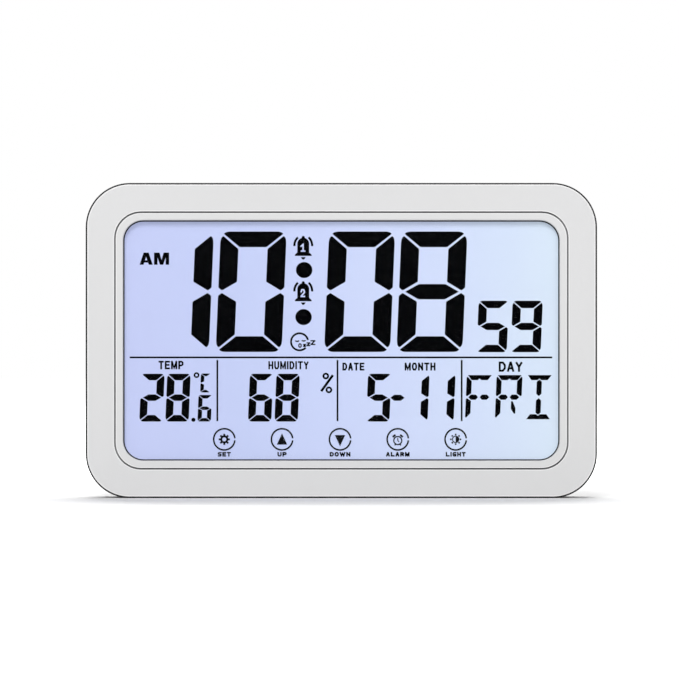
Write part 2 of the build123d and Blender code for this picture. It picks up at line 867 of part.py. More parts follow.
def make_stand_leg():
    """Fold-out leg: plate, two stiffening ribs, hinge barrel and the heel that stops it."""
    plate_front = case_depth - leg_thickness
    top = hinge_z + leg_heel
    left = leg_x - leg_width / 2
    right = leg_x + leg_width / 2
    plate = slab(between(left, right, leg_tip_z, top), plate_front, case_depth)
    tip_corners = plate.edges().filter_by(Axis.Y).sort_by(Axis.Z)[:2]
    leg = fillet(tip_corners, leg_corner_radius)
    leg += cross_rod(leg_barrel_radius, left, right, hinge_depth, hinge_z)
    for side in (-1, 1):
        rib_x = leg_x + side * (leg_width / 2 - leg_corner_radius - leg_rib_width)
        rib_low = leg_tip_z + leg_corner_radius
        rib = between(rib_x - leg_rib_width / 2, rib_x + leg_rib_width / 2, rib_low, hinge_z)
        leg += slab(rib, plate_front - leg_rib_height, plate_front)
    return leg - cross_rod(pin_radius, left - overrun, right + overrun, hinge_depth, hinge_z)


def make_stand_pin():
    """Steel pin through the leg, which turns in the side walls of the recess."""
    half = recess_width / 2 + pin_reach
    return cross_rod(pin_radius, leg_x - half, leg_x + half, hinge_depth, hinge_z)


def make_all():
    """Every piece of the clock, by node name."""
    pieces = {
        "front_frame": make_front_frame(),
        "rear_cover": make_rear_cover(),
        "lens_tape": make_lens_tape(),
        "window_lens": slab(panel(lens_width, lens_height, lens_corner_radius), lens_front, film_front),
        "touch_film": make_touch_film(),
        "light_guide": make_light_guide(),
        "reflector_sheet": make_reflector(),
        "backlight_board": make_lamp_board(),
        "backlight_leds": make_lamps(),
        "display_holder": make_holder(),
        "zebra_strip": make_zebra(),
        "main_board": make_main_board(),
        "controller_blob": make_blob(),
        "touch_chip": make_touch_chip(),
        "crystal": make_crystal(),
        "capacitor": make_capacitor(),
        "buzzer": make_buzzer(),
        "climate_sensor": make_climate_sensor(),
        "touch_connector": make_touch_connector(),
        "battery_springs": make_springs(),
        "positive_lead": make_positive_lead(),
        "negative_lead": make_negative_lead(),
        "battery_door": make_battery_door(),
        "stand_leg": make_stand_leg(),
        "stand_pin": make_stand_pin(),
    }
    pieces.update(make_display_layers())
    pieces["case_screws"] = make_screws(
        case_screw_places,
        case_screw_seat,
        case_screw_length,
        case_screw_radius,
        case_screw_head_radius,
        case_screw_head_height,
    )
    small_screw = (screw_radius, screw_head_radius, screw_head_height)
    pieces["holder_screws"] = make_screws(holder_screw_places, holder_rear, holder_screw_length, *small_screw)
    board_screw_length = board_thickness + board_screw_reach
    pieces["board_screws"] = make_screws(board_screw_places, board_rear, board_screw_length, *small_screw)
    for row, z in enumerate(cell_places):
        pieces[f"battery_cell_{row + 1}"] = make_cell(z, row % 2 == 0)
    left_tab_end = bay_left - bay_wall - tab_reach
    right_tab_end = bay_right + bay_wall + tab_reach
    positive_tab = contact_tab(left_tab_end, left_plate_face, cell_places[0])
    negative_tab = contact_tab(right_plate_face, right_tab_end, cell_places[-1])
    pieces["positive_contact"] = make_contact(True, 0, 0) + positive_tab
    pieces["bridge_right"] = make_contact(False, 0, 1)
    pieces["bridge_left"] = make_contact(True, 1, 2)
    pieces["negative_contact"] = make_contact(False, 2, 2) + negative_tab
    return pieces


os.makedirs("parts", exist_ok=True)
for name, piece in make_all().items():
    export_step(piece, f"parts/{name}.step")
print("Least gap between spring turns:", round(spring_gap(), 3))
print("Case depth:", round(case_depth, 3), "leg middle:", round(leg_x, 3))
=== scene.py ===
import math

import bmesh
import bpy
from mathutils import Matrix, Vector


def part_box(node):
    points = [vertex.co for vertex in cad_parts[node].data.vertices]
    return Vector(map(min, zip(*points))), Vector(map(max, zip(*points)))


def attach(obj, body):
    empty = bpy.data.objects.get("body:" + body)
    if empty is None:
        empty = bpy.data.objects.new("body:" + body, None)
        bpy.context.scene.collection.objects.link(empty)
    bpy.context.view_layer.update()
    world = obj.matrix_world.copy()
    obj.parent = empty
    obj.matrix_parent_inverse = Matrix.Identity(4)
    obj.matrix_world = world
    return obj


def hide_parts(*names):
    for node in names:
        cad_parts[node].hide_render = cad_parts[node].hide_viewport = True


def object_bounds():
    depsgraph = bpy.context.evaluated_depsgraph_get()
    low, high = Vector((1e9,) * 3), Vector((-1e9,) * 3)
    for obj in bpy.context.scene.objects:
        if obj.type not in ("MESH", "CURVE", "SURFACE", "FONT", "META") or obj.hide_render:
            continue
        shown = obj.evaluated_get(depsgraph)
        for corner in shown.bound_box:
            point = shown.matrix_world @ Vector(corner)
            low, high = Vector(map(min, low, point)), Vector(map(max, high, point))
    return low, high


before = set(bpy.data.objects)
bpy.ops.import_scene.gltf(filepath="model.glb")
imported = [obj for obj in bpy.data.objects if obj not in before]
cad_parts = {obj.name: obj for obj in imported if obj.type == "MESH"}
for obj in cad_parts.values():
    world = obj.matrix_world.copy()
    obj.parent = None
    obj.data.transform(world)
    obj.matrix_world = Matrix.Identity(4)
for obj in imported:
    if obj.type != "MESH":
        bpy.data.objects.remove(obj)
cad_low, cad_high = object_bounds()


# Front frame
# The front half of the case, injection moulded in light grey ABS with a fine spark-eroded skin.
# The display stack is pressed into it from behind, and the rear cover is screwed to its corner posts.
# Sizes are in mm unless a comment says otherwise, and this turns them into Blender's metres.
MM = 0.001
frame_light = "DFDFE0"
frame_dark = "DADADA"
frame_patch = 55.0
frame_grain = 0.45
frame_gloss = 0.66
window_middle = 50.85
case_corner = 14.3
groove_inset = 9.475
groove_corner = 8.425
groove_half = 0.3
# Painted shade in the groove: how far out it reaches, the depths where it starts and where it is full, and
# its tone.
groove_side = 0.36
groove_lip = 0.02
groove_fade = 0.2
groove_shade_tone = "858587"
# Painted shade as a fine dark line on the outer edge: its width, its fade, the depths where it ends, and
# its tone.
edge_line = 0.5
edge_fade = 0.06
edge_depth = 0.9
edge_back = 0.7
edge_shade_tone = "1E1E20"
# Painted highlight on the lips of the groove and just inside the edge line: its width, its fade and its
# tone.
lip_width = 0.32
lip_fade = 0.12
lip_highlight_tone = "F0F0F0"
frame_relief = 0.006
frame_shine = 0.2
drift_detail = 3.0
skin_detail = 2.0
gloss_spread_share = 0.12
relief_share = 0.5


def tone(code):
    """Linear colour of an sRGB hex code."""
    parts = [int(code[at : at + 2], 16) / 255 for at in (0, 2, 4)]
    return [p / 12.92 if p <= 0.04045 else ((p + 0.055) / 1.055) ** 2.4 for p in parts] + [1.0]


def put(tree, kind, settings, links):
    """Adds a node to a tree, with its settings, and a value or a link for each input by name or number."""
    node = tree.nodes.new("ShaderNode" + kind)
    for name, value in settings.items():
        setattr(node, name, value)
    for name, value in links.items():
        if isinstance(value, bpy.types.NodeSocket):
            tree.links.new(value, node.inputs[name])
        else:
            node.inputs[name].default_value = value
    return node


# Mix takes its numbers at 2 and 3 and its colours at 6 and 7. Map Range goes from 1 and 2 to 3 and 4.
def finish(name, light, dark, patch, grain, rough, relief, metal=0.0, level=0.5, speck=0.2):
    """A finish whose tone drifts over patches and whose gloss and relief follow a finer grain, in mm."""
    material = bpy.data.materials.new(name)
    material.use_nodes = True
    tree = material.node_tree
    shader = tree.nodes["Principled BSDF"]
    place = put(tree, "TexCoord", {}, {}).outputs["Object"]
    drift = put(tree, "TexNoise", {}, {"Vector": place, "Scale": 1 / (patch * MM), "Detail": drift_detail})
    skin = put(tree, "TexNoise", {}, {"Vector": place, "Scale": 1 / (grain * MM), "Detail": skin_detail})
    mottle = put(tree, "Mix", {}, {0: speck, 2: drift.outputs[0], 3: skin.outputs[0]})
    tint = put(tree, "Mix", {"data_type": "RGBA"}, {0: mottle.outputs[0], 6: tone(light), 7: tone(dark)})
    glossy = rough * (1 - gloss_spread_share)
    dull = rough * (1 + gloss_spread_share)
    sheen = put(tree, "MapRange", {}, {0: skin.outputs[0], 3: glossy, 4: dull})
    pits = {"Height": skin.outputs[0], "Strength": relief_share, "Distance": relief * MM}
    bump = put(tree, "Bump", {}, pits)
    tree.links.new(tint.outputs[2], shader.inputs["Base Color"])
    tree.links.new(sheen.outputs[0], shader.inputs["Roughness"])
    tree.links.new(bump.outputs[0], shader.inputs["Normal"])
    shader.inputs["Metallic"].default_value = metal
    shader.inputs["Specular IOR Level"].default_value = level
    return material


def dress(material, *nodes):
    """Gives CAD nodes their finish."""
    for name in nodes:
        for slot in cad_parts[name].material_slots:
            slot.material = material


def ring_reach(tree, place, width, height, radius):
    """How far a point lies from the corner centres of a rounded rectangle round the window, in metres."""
    flat = put(tree, "VectorMath", {"operation": "MULTIPLY"}, {0: place, 1: (1.0, 0.0, 1.0)})
    middle = (0.0, 0.0, window_middle * MM)
    shifted = put(tree, "VectorMath", {"operation": "SUBTRACT"}, {0: flat.outputs[0], 1: middle})
    folded = put(tree, "VectorMath", {"operation": "ABSOLUTE"}, {0: shifted.outputs[0]})
    corner = Vector((width / 2 - radius, 0.0, height / 2 - radius)) * MM
    past = put(tree, "VectorMath", {"operation": "SUBTRACT"}, {0: folded.outputs[0], 1: corner})
    kept = put(tree, "VectorMath", {"operation": "MAXIMUM"}, {0: past.outputs[0], 1: (0.0, 0.0, 0.0)})
    return put(tree, "VectorMath", {"operation": "LENGTH"}, {0: kept.outputs[0]}).outputs["Value"]


# Moulded ABS: a nearly matt skin, because its fine sparked texture breaks up the highlights.
# Painted highlights make its lips paler, painted shade darkens the groove, and painted shade makes a fine
# dark line along the outer edge.
frame_abs = finish(
    "frame_abs",
    frame_light,
    frame_dark,
    patch=frame_patch,
    grain=frame_grain,
    rough=frame_gloss,
    relief=frame_relief,
    level=frame_shine,
)
tree = frame_abs.node_tree
shader = tree.nodes["Principled BSDF"]
plain = shader.inputs["Base Color"].links[0].from_socket
place = put(tree, "TexCoord", {}, {}).outputs["Object"]
deep = put(tree, "SeparateXYZ", {}, {0: place}).outputs[1]
front = cad_low.y
case_size = (cad_high - cad_low) / MM
groove_width = case_size.x - 2 * groove_inset
groove_height = case_size.z - 2 * groove_inset
groove_reach = ring_reach(tree, place, groove_width, groove_height, groove_corner)
off_groove = put(tree, "Math", {"operation": "SUBTRACT"}, {0: groove_reach, 1: groove_corner * MM})
near_groove = put(tree, "Math", {"operation": "ABSOLUTE"}, {0: off_groove.outputs[0]}).outputs[0]
edge_reach = ring_reach(tree, place, case_size.x, case_size.z, case_corner)
edge_start = (case_corner - edge_line) * MM
fore_end = front + edge_depth * MM
fore = put(tree, "MapRange", {}, {0: deep, 1: fore_end, 2: front + edge_back * MM}).outputs[0]

# Painted highlight: a paler band along both lips of the groove and just inside the outer edge, on the front
# only.
lip_end = (groove_half + lip_width) * MM
groove_lip_highlight = put(tree, "MapRange", {}, {0: near_groove, 1: lip_end, 2: lip_end - lip_fade * MM})
lip_start = edge_start - lip_width * MM
edge_lip_highlight = put(tree, "MapRange", {}, {0: edge_reach, 1: lip_start - lip_fade * MM, 2: lip_start})
lip_highlights = put(tree, "Math", {"operation": "MAXIMUM"}, {0: groove_lip_highlight.outputs[0], 1: edge_lip_highlight.outputs[0]})
front_lip_highlight = put(tree, "Math", {"operation": "MULTIPLY"}, {0: lip_highlights.outputs[0], 1: fore})
lips_highlighted = put(tree, "Mix", {"data_type": "RGBA"}, {0: front_lip_highlight.outputs[0], 6: plain, 7: tone(lip_highlight_tone)})
# Painted shade: the groove is darkened below its lip, as shade would fall in it.
on_groove = put(tree, "MapRange", {}, {0: near_groove, 1: groove_side * MM, 2: groove_half * MM})
sunk = put(tree, "MapRange", {}, {0: deep, 1: front + groove_lip * MM, 2: front + groove_fade * MM})
groove_shade_mask = put(tree, "Math", {"operation": "MULTIPLY"}, {0: on_groove.outputs[0], 1: sunk.outputs[0]})
groove_shaded = put(
    tree, "Mix", {"data_type": "RGBA"}, {0: groove_shade_mask.outputs[0], 6: lips_highlighted.outputs[2], 7: tone(groove_shade_tone)}
)
# Painted shade: a fine dark line on the rounded outer edge, where it turns away from the lamps.
on_edge = put(tree, "MapRange", {}, {0: edge_reach, 1: edge_start - edge_fade * MM, 2: edge_start})
edge_shade_mask = put(tree, "Math", {"operation": "MULTIPLY"}, {0: on_edge.outputs[0], 1: fore})
edge_shaded = put(
    tree, "Mix", {"data_type": "RGBA"}, {0: edge_shade_mask.outputs[0], 6: groove_shaded.outputs[2], 7: tone(edge_shade_tone)}
)
tree.links.new(edge_shaded.outputs[2], shader.inputs["Base Color"])
dress(frame_abs, "front_frame")


# Lens tape
# A die-cut ring of thin black foam tape between the frame and the window lens.
# Its inner edge shows as the dark line round the display.
# Polyethylene foam: dull, with open cells a few tenths of a millimetre wide.
tape_foam = finish(
    "tape_foam", "202228", "14151A", patch=3.0, grain=0.3, rough=0.8, relief=0.03, level=0.2
)
dress(tape_foam, "lens_tape")


# Window lens
# A cut sheet of clear cast acrylic with a hard coat against glare, bonded to the back of the frame.
# It lets the lamps through to the display, and only seen well aslant it mirrors the room.
lens_index = 1.07
lens_gloss = 0.015
coat_wave = 24.0
coat_relief = 0.002


def clear_sheet(name, clear, thick, wave, index, gloss, relief):
    """A polished clear sheet, very slightly wavy, and a touch less clear where it is thicker."""
    material = finish(name, clear, thick, patch=wave, grain=wave, rough=gloss, relief=relief)
    sockets = material.node_tree.nodes["Principled BSDF"].inputs
    sockets["Transmission Weight"].default_value = 1.0
    sockets["IOR"].default_value = index
    return material


# Cast acrylic: water clear and glossy. Its index is set low because the coat takes away most of the mirror.
lens_acrylic = clear_sheet(
    "lens_acrylic",
    "FDFEFF",
    "FCFDFF",
    wave=coat_wave,
    index=lens_index,
    gloss=lens_gloss,
    relief=coat_relief,
)
dress(lens_acrylic, "window_lens")
window_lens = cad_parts["window_lens"]
window_lens.visible_shadow = False
window_lens.visible_diffuse = False


# Touch film and key marks
# A clear polyester film with the touch pads, laminated behind the lens.
# The five key marks are screen printed on it in black: a broken ring, a sign and a word for each key.
film_alpha = 0.004
print_front = 0.02
print_depth = 0.04
key_places = (-37.63, -18.99, -0.27, 18.37, 37.06)
key_height = -32.06
ring_radius = 3.43
ring_line = 0.52
ring_break = 11.0
sign_line = 0.4
ear_line = 0.6
hand_line = 0.3
word_bottom = -37.6
word_top = -36.15
mitre_limit = 0.45
full_turn = 360.0
arc_step = 7.5
fewest_steps = 8
disc_sides = 40
weld_reach = 0.0001
letter_gap_share = 0.6
print_shift = Vector((-0.16, 0.0, 0.16))
print_share = 1.001
letter_shares = {"I": 0.0, "M": 1.3, "W": 1.6, "1": 0.6}
# Each letter of the printed words as pen strokes in a box of one by one.
letter_paths = {
    "A": (((0.0, 0.0), (0.45, 1.0), (0.55, 1.0), (1.0, 0.0)), ((0.2, 0.3), (0.8, 0.3))),
    "D": (
        ((0.0, 0.5), (0.0, 1.0), (0.6, 1.0), (1.0, 0.7), (1.0, 0.3), (0.6, 0.0), (0.0, 0.0), (0.0, 0.5)),
    ),
    "E": (((1.0, 1.0), (0.0, 1.0), (0.0, 0.0), (1.0, 0.0)), ((0.0, 0.52), (0.85, 0.52))),
    "G": (
        ((1.0, 1.0), (0.28, 1.0), (0.0, 0.74), (0.0, 0.26), (0.28, 0.0), (1.0, 0.0)),
        ((1.0, 0.1), (1.0, 0.42), (0.6, 0.42)),
    ),
    "H": (((0.0, 0.0), (0.0, 1.0)), ((1.0, 0.0), (1.0, 1.0)), ((0.0, 0.5), (1.0, 0.5))),
    "I": (((0.0, 0.0), (0.0, 1.0)),),
    "L": (((0.0, 1.0), (0.0, 0.0), (1.0, 0.0)),),
    "M": (((0.0, 0.0), (0.0, 1.0)), ((0.06, 0.92), (0.5, 0.08), (0.94, 0.92)), ((1.0, 1.0), (1.0, 0.0))),
    "N": (((0.0, 0.0), (0.0, 1.0)), ((0.05, 0.92), (0.95, 0.08)), ((1.0, 0.0), (1.0, 1.0))),
    "O": (
        (
            (0.0, 0.5),
            (0.0, 0.72),
            (0.28, 1.0),
            (0.72, 1.0),
            (1.0, 0.72),
            (1.0, 0.28),
            (0.72, 0.0),
            (0.28, 0.0),
            (0.0, 0.28),
            (0.0, 0.5),
        ),
    ),
    "P": (((0.0, 0.0), (0.0, 1.0), (0.7, 1.0), (1.0, 0.86), (1.0, 0.58), (0.7, 0.44), (0.0, 0.44)),),
    "R": (
        ((0.0, 0.0), (0.0, 1.0), (0.7, 1.0), (1.0, 0.86), (1.0, 0.6), (0.7, 0.46), (0.0, 0.46)),
        ((0.5, 0.46), (0.95, 0.05)),
    ),
    "S": (
        (
            (1.0, 1.0),
            (0.26, 1.0),
            (0.0, 0.84),
            (0.0, 0.64),
            (0.24, 0.52),
            (0.76, 0.48),
            (1.0, 0.36),
            (1.0, 0.16),
            (0.74, 0.0),
            (0.0, 0.0),
        ),
    ),
    "T": (((0.0, 1.0), (1.0, 1.0)), ((0.5, 1.0), (0.5, 0.0))),
    "U": (((0.0, 1.0), (0.0, 0.26), (0.26, 0.0), (0.74, 0.0), (1.0, 0.26), (1.0, 1.0)),),
    "W": (
        ((0.0, 1.0), (0.25, 0.0)),
        ((0.25, 0.0), (0.5, 0.85)),
        ((0.5, 0.85), (0.75, 0.0)),
        ((0.75, 0.0), (1.0, 1.0)),
    ),
    "Y": (((0.04, 0.95), (0.5, 0.46), (0.96, 0.95)), ((0.5, 0.46), (0.5, 0.0))),
    "1": (((0.0, 0.74), (0.6, 1.0), (0.6, 0.0)), ((0.1, 0.0), (1.1, 0.0))),
    "2": (
        ((0.0, 0.72), (0.22, 1.0), (0.78, 1.0), (1.0, 0.78), (1.0, 0.58), (0.06, 0.06)),
        ((0.0, 0.0), (1.0, 0.0)),
    ),
    "Z": (((0.0, 1.0), (1.0, 1.0)), ((0.92, 0.92), (0.08, 0.08)), ((0.0, 0.0), (1.0, 0.0))),
}
# Each word under a key with its width and the width of its lines.
key_words = (
    ("SET", 4.2, 0.4),
    ("UP", 2.95, 0.43),
    ("DOWN", 6.7, 0.44),
    ("ALARM", 7.6, 0.46),
    ("LIGHT", 6.4, 0.43),
)
gear_teeth = 8
gear_tooth = 0.6
gear_reach = 1.8
gear_body = 0.98
gear_rim = 0.64
arrow_half = 1.66
arrow_rise = 1.68
arrow_tip = 0.25
arrow_drop = 0.3
dial_radius = 1.29
dial_drop = 0.38
ear_radius = 1.92
ear_angles = (34.0, 112.0)
ear_sweep = 34.0
foot_angles = (-58.0, -122.0)
foot_ends = (1.45, 1.85)
hands = ((0.0, 0.85), (0.0, 0.0), (0.42, -0.42))
sun_radius = 1.02
sun_rays = 8
ray_ends = (1.3, 1.8)
ray_line = 0.5
sun_half = (-90.0, 180.0)


def patch_face(marks, corners):
    """Adds one flat outline, with its corners in mm from the middle of the window."""
    return marks.faces.new([marks.verts.new((x, 0.0, z)) for x, z in corners])


def stroke(marks, start, end, width):
    """Adds a straight line of one width between two points."""
    along = (Vector(end) - Vector(start)).normalized() * width / 2
    side = Vector((-along.y, along.x))
    ends = (Vector(start) + side, Vector(end) + side, Vector(end) - side, Vector(start) - side)
    return patch_face(marks, ends)


def ray(angle, radius, centre=(0.0, 0.0)):
    """The point at an angle in degrees and a radius round a centre."""
    turn = math.radians(angle)
    return (centre[0] + radius * math.cos(turn), centre[1] + radius * math.sin(turn))


def arc_line(marks, centre, radius, line, start=0.0, sweep=full_turn):
    """Adds an arc of even width, spun from one short edge."""
    inner, outer = [ray(start, radius + half, centre) for half in (-line / 2, line / 2)]
    ends = [marks.verts.new((x, 0.0, z)) for x, z in (inner, outer)]
    edge = marks.edges.new(ends)
    bmesh.ops.spin(
        marks,
        geom=[*ends, edge],
        cent=(centre[0], 0.0, centre[1]),
        axis=(0.0, -1.0, 0.0),
        angle=math.radians(sweep),
        steps=max(fewest_steps, round(sweep / arc_step)),
        use_merge=sweep == full_turn,
    )


def dot(marks, centre, radius, steps=disc_sides, height_share=1.0):
    """Adds a filled disc, which may be lower than it is wide."""
    turn = Matrix.Rotation(math.pi / 2, 4, "X") @ Matrix.Diagonal((1.0, height_share, 1.0, 1.0))
    seat = Matrix.Translation((centre[0], 0.0, centre[1])) @ turn
    bmesh.ops.create_circle(marks, cap_ends=True, segments=steps, radius=radius, matrix=seat)


def pen_line(marks, points, width):
    """Adds a line of even width through some points, with square ends and mitred corners."""
    path = [Vector(point) for point in points]
    runs = [(end - start).normalized() for start, end in zip(path, path[1:])]
    path[0] -= runs[0] * width / 2
    path[-1] += runs[-1] * width / 2
    sides = []
    for before, after in zip(runs[:1] + runs, runs + runs[-1:]):
        across = Vector((-before.y - after.y, before.x + after.x)).normalized()
        square = abs(across.dot(Vector((-after.y, after.x))))
        sides.append(across * width / 2 / max(square, mitre_limit))
    first = [marks.verts.new((p.x, 0.0, p.y)) for p in (path[0] - sides[0], path[0] + sides[0])]
    edge = marks.edges.new(first)
    for point, side in zip(path[1:], sides[1:]):
        grown = bmesh.ops.extrude_edge_only(marks, edges=[edge])["geom"]
        edge = next(part for part in grown if isinstance(part, bmesh.types.BMEdge))
        left, right = [part for part in grown if isinstance(part, bmesh.types.BMVert)]
        left.co = (point.x - side.x, 0.0, point.y - side.y)
        right.co = (point.x + side.x, 0.0, point.y + side.y)


def letters(marks, word, left, right, bottom, top, line):
    """Adds a word in a plain single line hand, fitted to a box in mm."""
    shares = [letter_shares.get(letter, 1.0) for letter in word]
    gap = letter_gap_share * line
    unit = (right - left - line * len(word) - gap * (len(word) - 1)) / sum(shares)
    x = left + line / 2
    rise = top - bottom - line
    for letter, share in zip(word, shares):
        for path in letter_paths[letter]:
            pen_line(marks, [(x + u * share * unit, bottom + line / 2 + v * rise) for u, v in path], line)
        x += share * unit + gap + line


def piece(name, mesh, material, body):
    """Makes a piece of a finished bmesh, which then rides on a body of the CAD model."""
    bmesh.ops.recalc_face_normals(mesh, faces=mesh.faces[:])
    data = bpy.data.meshes.new(name)
    mesh.to_mesh(data)
    mesh.free()
    data.materials.append(material)
    made = bpy.data.objects.new(name, data)
    bpy.context.scene.collection.objects.link(made)
    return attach(made, body)


def lay_print(name, marks, front, depth, material):
    """Gives flat marks a thickness in mm and lays them behind the window, their face at a given depth."""
    bmesh.ops.remove_doubles(marks, verts=marks.verts[:], dist=weld_reach)
    grown = bmesh.ops.extrude_face_region(marks, geom=marks.faces[:])
    backs = [part for part in grown["geom"] if isinstance(part, bmesh.types.BMVert)]
    bmesh.ops.translate(marks, verts=backs, vec=(0.0, depth, 0.0))
    middle = Vector((0.0, front, window_middle * MM)) + print_shift * MM
    stretch = Matrix.Diagonal((print_share, 1.0, print_share, 1.0))
    seat = Matrix.Translation(middle) @ Matrix.Scale(MM, 4) @ stretch
    bmesh.ops.transform(marks, matrix=seat, verts=marks.verts[:])
    return piece(name, marks, material, "case")


# Polyester film: clear, with a faint grey from its conductive coat.
film_polyester = finish(
    "film_polyester", "55595D", "4C5054", patch=20.0, grain=2.0, rough=0.2, relief=0.001, level=0.2
)
film_polyester.node_tree.nodes["Principled BSDF"].inputs["Alpha"].default_value = film_alpha
dress(film_polyester, "touch_film")

# Screen ink: dull black, a little uneven where the mesh of the screen left it.
key_ink = finish("key_ink", "06070A", "0B0C10", patch=2.0, grain=0.2, rough=0.7, relief=0.002, level=0.05)
key_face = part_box("touch_film")[0].y + print_front * MM

rings = bmesh.new()
for x in key_places:
    arc_line(rings, (x, key_height), ring_radius, ring_line, ring_break / 2, full_turn - ring_break)
lay_print("key_rings", rings, key_face, print_depth, key_ink)

words = bmesh.new()
for x, (word, width, line) in zip(key_places, key_words):
    letters(words, word, x - width / 2, x + width / 2, word_bottom, word_top, line)
lay_print("key_words", words, key_face, print_depth, key_ink)

signs = bmesh.new()
set_x, up_x, down_x, alarm_x, light_x = key_places
arc_line(signs, (set_x, key_height), gear_body, gear_rim)
for tooth in range(gear_teeth):
    angle = full_turn * tooth / gear_teeth
    hub = (set_x, key_height)
    stroke(signs, ray(angle, gear_body, hub), ray(angle, gear_reach, hub), gear_tooth)
for x, up, height in ((up_x, 1, key_height), (down_x, -1, key_height - arrow_drop)):
    tip = (x, height + up * (arrow_rise + arrow_tip))
    foot = height - up * arrow_rise
    patch_face(signs, (tip, (x - arrow_half, foot), (x + arrow_half, foot)))
dial = (alarm_x, key_height - dial_drop)
arc_line(signs, dial, dial_radius, sign_line)
for angle in ear_angles:
    arc_line(signs, dial, ear_radius, ear_line, angle, ear_sweep)
for angle in foot_angles:
    stroke(signs, ray(angle, foot_ends[0], dial), ray(angle, foot_ends[1], dial), sign_line)
for start, end in zip(hands, hands[1:]):
    stroke(signs, Vector(dial) + Vector(start), Vector(dial) + Vector(end), hand_line)
sun = (light_x, key_height)
arc_line(signs, sun, sun_radius, hand_line)
arc_line(signs, sun, sun_radius / 2, sun_radius, *sun_half)
for beam in range(sun_rays):
    angle = full_turn * beam / sun_rays
    stroke(signs, ray(angle, ray_ends[0], sun), ray(angle, ray_ends[1], sun), ray_line)
lay_print("key_signs", signs, key_face, print_depth, key_ink)


# Display face
# The front polariser of the liquid crystal display, a grey blue film lit from behind.
# The lamp strip is at the left, so the light is lavender there and turns to pale blue at the right.
face_recess = 0.06
face_round = 0.04
# The light's tones from left to right, each with its place as a share of the width.
face_tones = (
    ("C9D1F8", 0.0),
    ("CAD4F9", 0.28),
    ("CFD9FC", 0.45),
    ("D5E0FD", 0.7),
    ("D9E6FC", 0.87),
    ("DEECFB", 1.0),
)
face_cloud = 30.0
cloud_detail = 2.0
cloud_sway_share = 0.06
face_glow = 0.485
film_light = "BCBCBC"
film_dark = "BABABA"
face_low, face_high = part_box("lcd_front_polariser")

plate = bmesh.new()
bmesh.ops.create_cube(plate, size=1.0)
face_size = face_high - face_low - Vector((0.0, face_recess * MM, 0.0))
face_middle = (face_high + face_low) / 2 + Vector((0.0, face_recess * MM / 2, 0.0))
face_seat = Matrix.Translation(face_middle) @ Matrix.Diagonal((*face_size, 1.0))
bmesh.ops.transform(plate, matrix=face_seat, verts=plate.verts[:])
bmesh.ops.bevel(
    plate, geom=plate.edges[:], offset=face_round * MM, affect="EDGES", segments=2, profile=0.5, material=-1
)

# Polarising film over a backlight: part of its light is the lamp's own, and part is thrown on it.
face_film = finish(
    "face_film", film_light, film_dark, patch=face_cloud, grain=0.6, rough=0.6, relief=0.001, level=0.1
)
tree = face_film.node_tree
shader = tree.nodes["Principled BSDF"]
grey = shader.inputs["Base Color"].links[0].from_socket
place = put(tree, "TexCoord", {}, {}).outputs["Object"]
split = put(tree, "SeparateXYZ", {}, {0: place})
cloud = put(tree, "TexNoise", {}, {"Vector": place, "Scale": 1 / (face_cloud * MM), "Detail": cloud_detail})
across = put(tree, "MapRange", {}, {0: split.outputs[0], 1: face_low.x, 2: face_high.x})
sway = put(tree, "MapRange", {}, {0: cloud.outputs[0], 3: -cloud_sway_share, 4: cloud_sway_share})
shift = put(tree, "Math", {"operation": "ADD"}, {0: across.outputs[0], 1: sway.outputs[0]})
glow = put(tree, "ValToRGB", {}, {0: shift.outputs[0]})
ramp = glow.color_ramp.elements
for code, at in face_tones[1:-1]:
    ramp.new(at).color = tone(code)
ramp[0].color = tone(face_tones[0][0])
ramp[len(ramp) - 1].color = tone(face_tones[-1][0])
tinting = {"data_type": "RGBA", "blend_type": "MULTIPLY"}
dim = put(tree, "Mix", tinting, {0: 1.0, 6: grey, 7: glow.outputs[0]})
tree.links.new(dim.outputs[2], shader.inputs["Base Color"])
tree.links.new(glow.outputs[0], shader.inputs["Emission Color"])
shader.inputs["Emission Strength"].default_value = face_glow
display_face = piece("display_face", plate, face_film, "case")
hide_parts("lcd_front_polariser")


# Time and number bars
# The switched bars of the liquid crystal, which block the backlight and look black.
# Each figure leans a little to the right, and its bars meet in mitred corners with a fine gap.
bar_front = 0.01
bar_depth = 0.06
lean = 0.042
bar_round_share = 0.025
# Corners of the bars as shares of the strokes, in from the side, and from the top or the middle.
side_top_shares = ((0.0, 0.72), (0.025, 0.5), (0.08, 0.36), (0.16, 0.29), (1.0, 1.12))
side_foot_shares = ((1.0, 0.64), (0.2, 0.08), (0.0, 0.27))
top_end_shares = ((1.065, 1.0), (0.175, 0.145), (0.28, 0.05), (0.45, 0.0))
centre_end_shares = ((1.075, -0.49), (0.335, 0.0), (1.075, 0.49))
figures = {
    "0": "abcdef",
    "1": "bc",
    "2": "abged",
    "5": "afgcd",
    "6": "afgecd",
    "8": "abcdefg",
    "9": "abcdfg",
    "C": "afed",
}
# Each group: the height of its feet, width, height, upright stroke, level stroke, and figures with places.
time_group = (-3.84, 21.3, 38.85, 5.94, 5.03, (("1", -63.1), ("0", -39.6), ("0", -4.6), ("8", 18.75)))
second_group = (-3.93, 9.75, 16.6, 2.76, 2.38, (("5", 44.14), ("9", 55.1)))
row_group = (
    -26.32,
    7.55,
    15.42,
    2.44,
    2.1,
    (("2", -64.75), ("8", -56.35), ("6", -29.68), ("8", -21.12), ("5", 8.45), ("1", 20.77), ("1", 29.17)),
)
tenth_group = (-26.3, 4.35, 8.55, 1.36, 1.12, (("6", -46.12),))
unit_group = (-16.92, 3.15, 6.1, 1.15, 0.84, (("C", -45.3),))


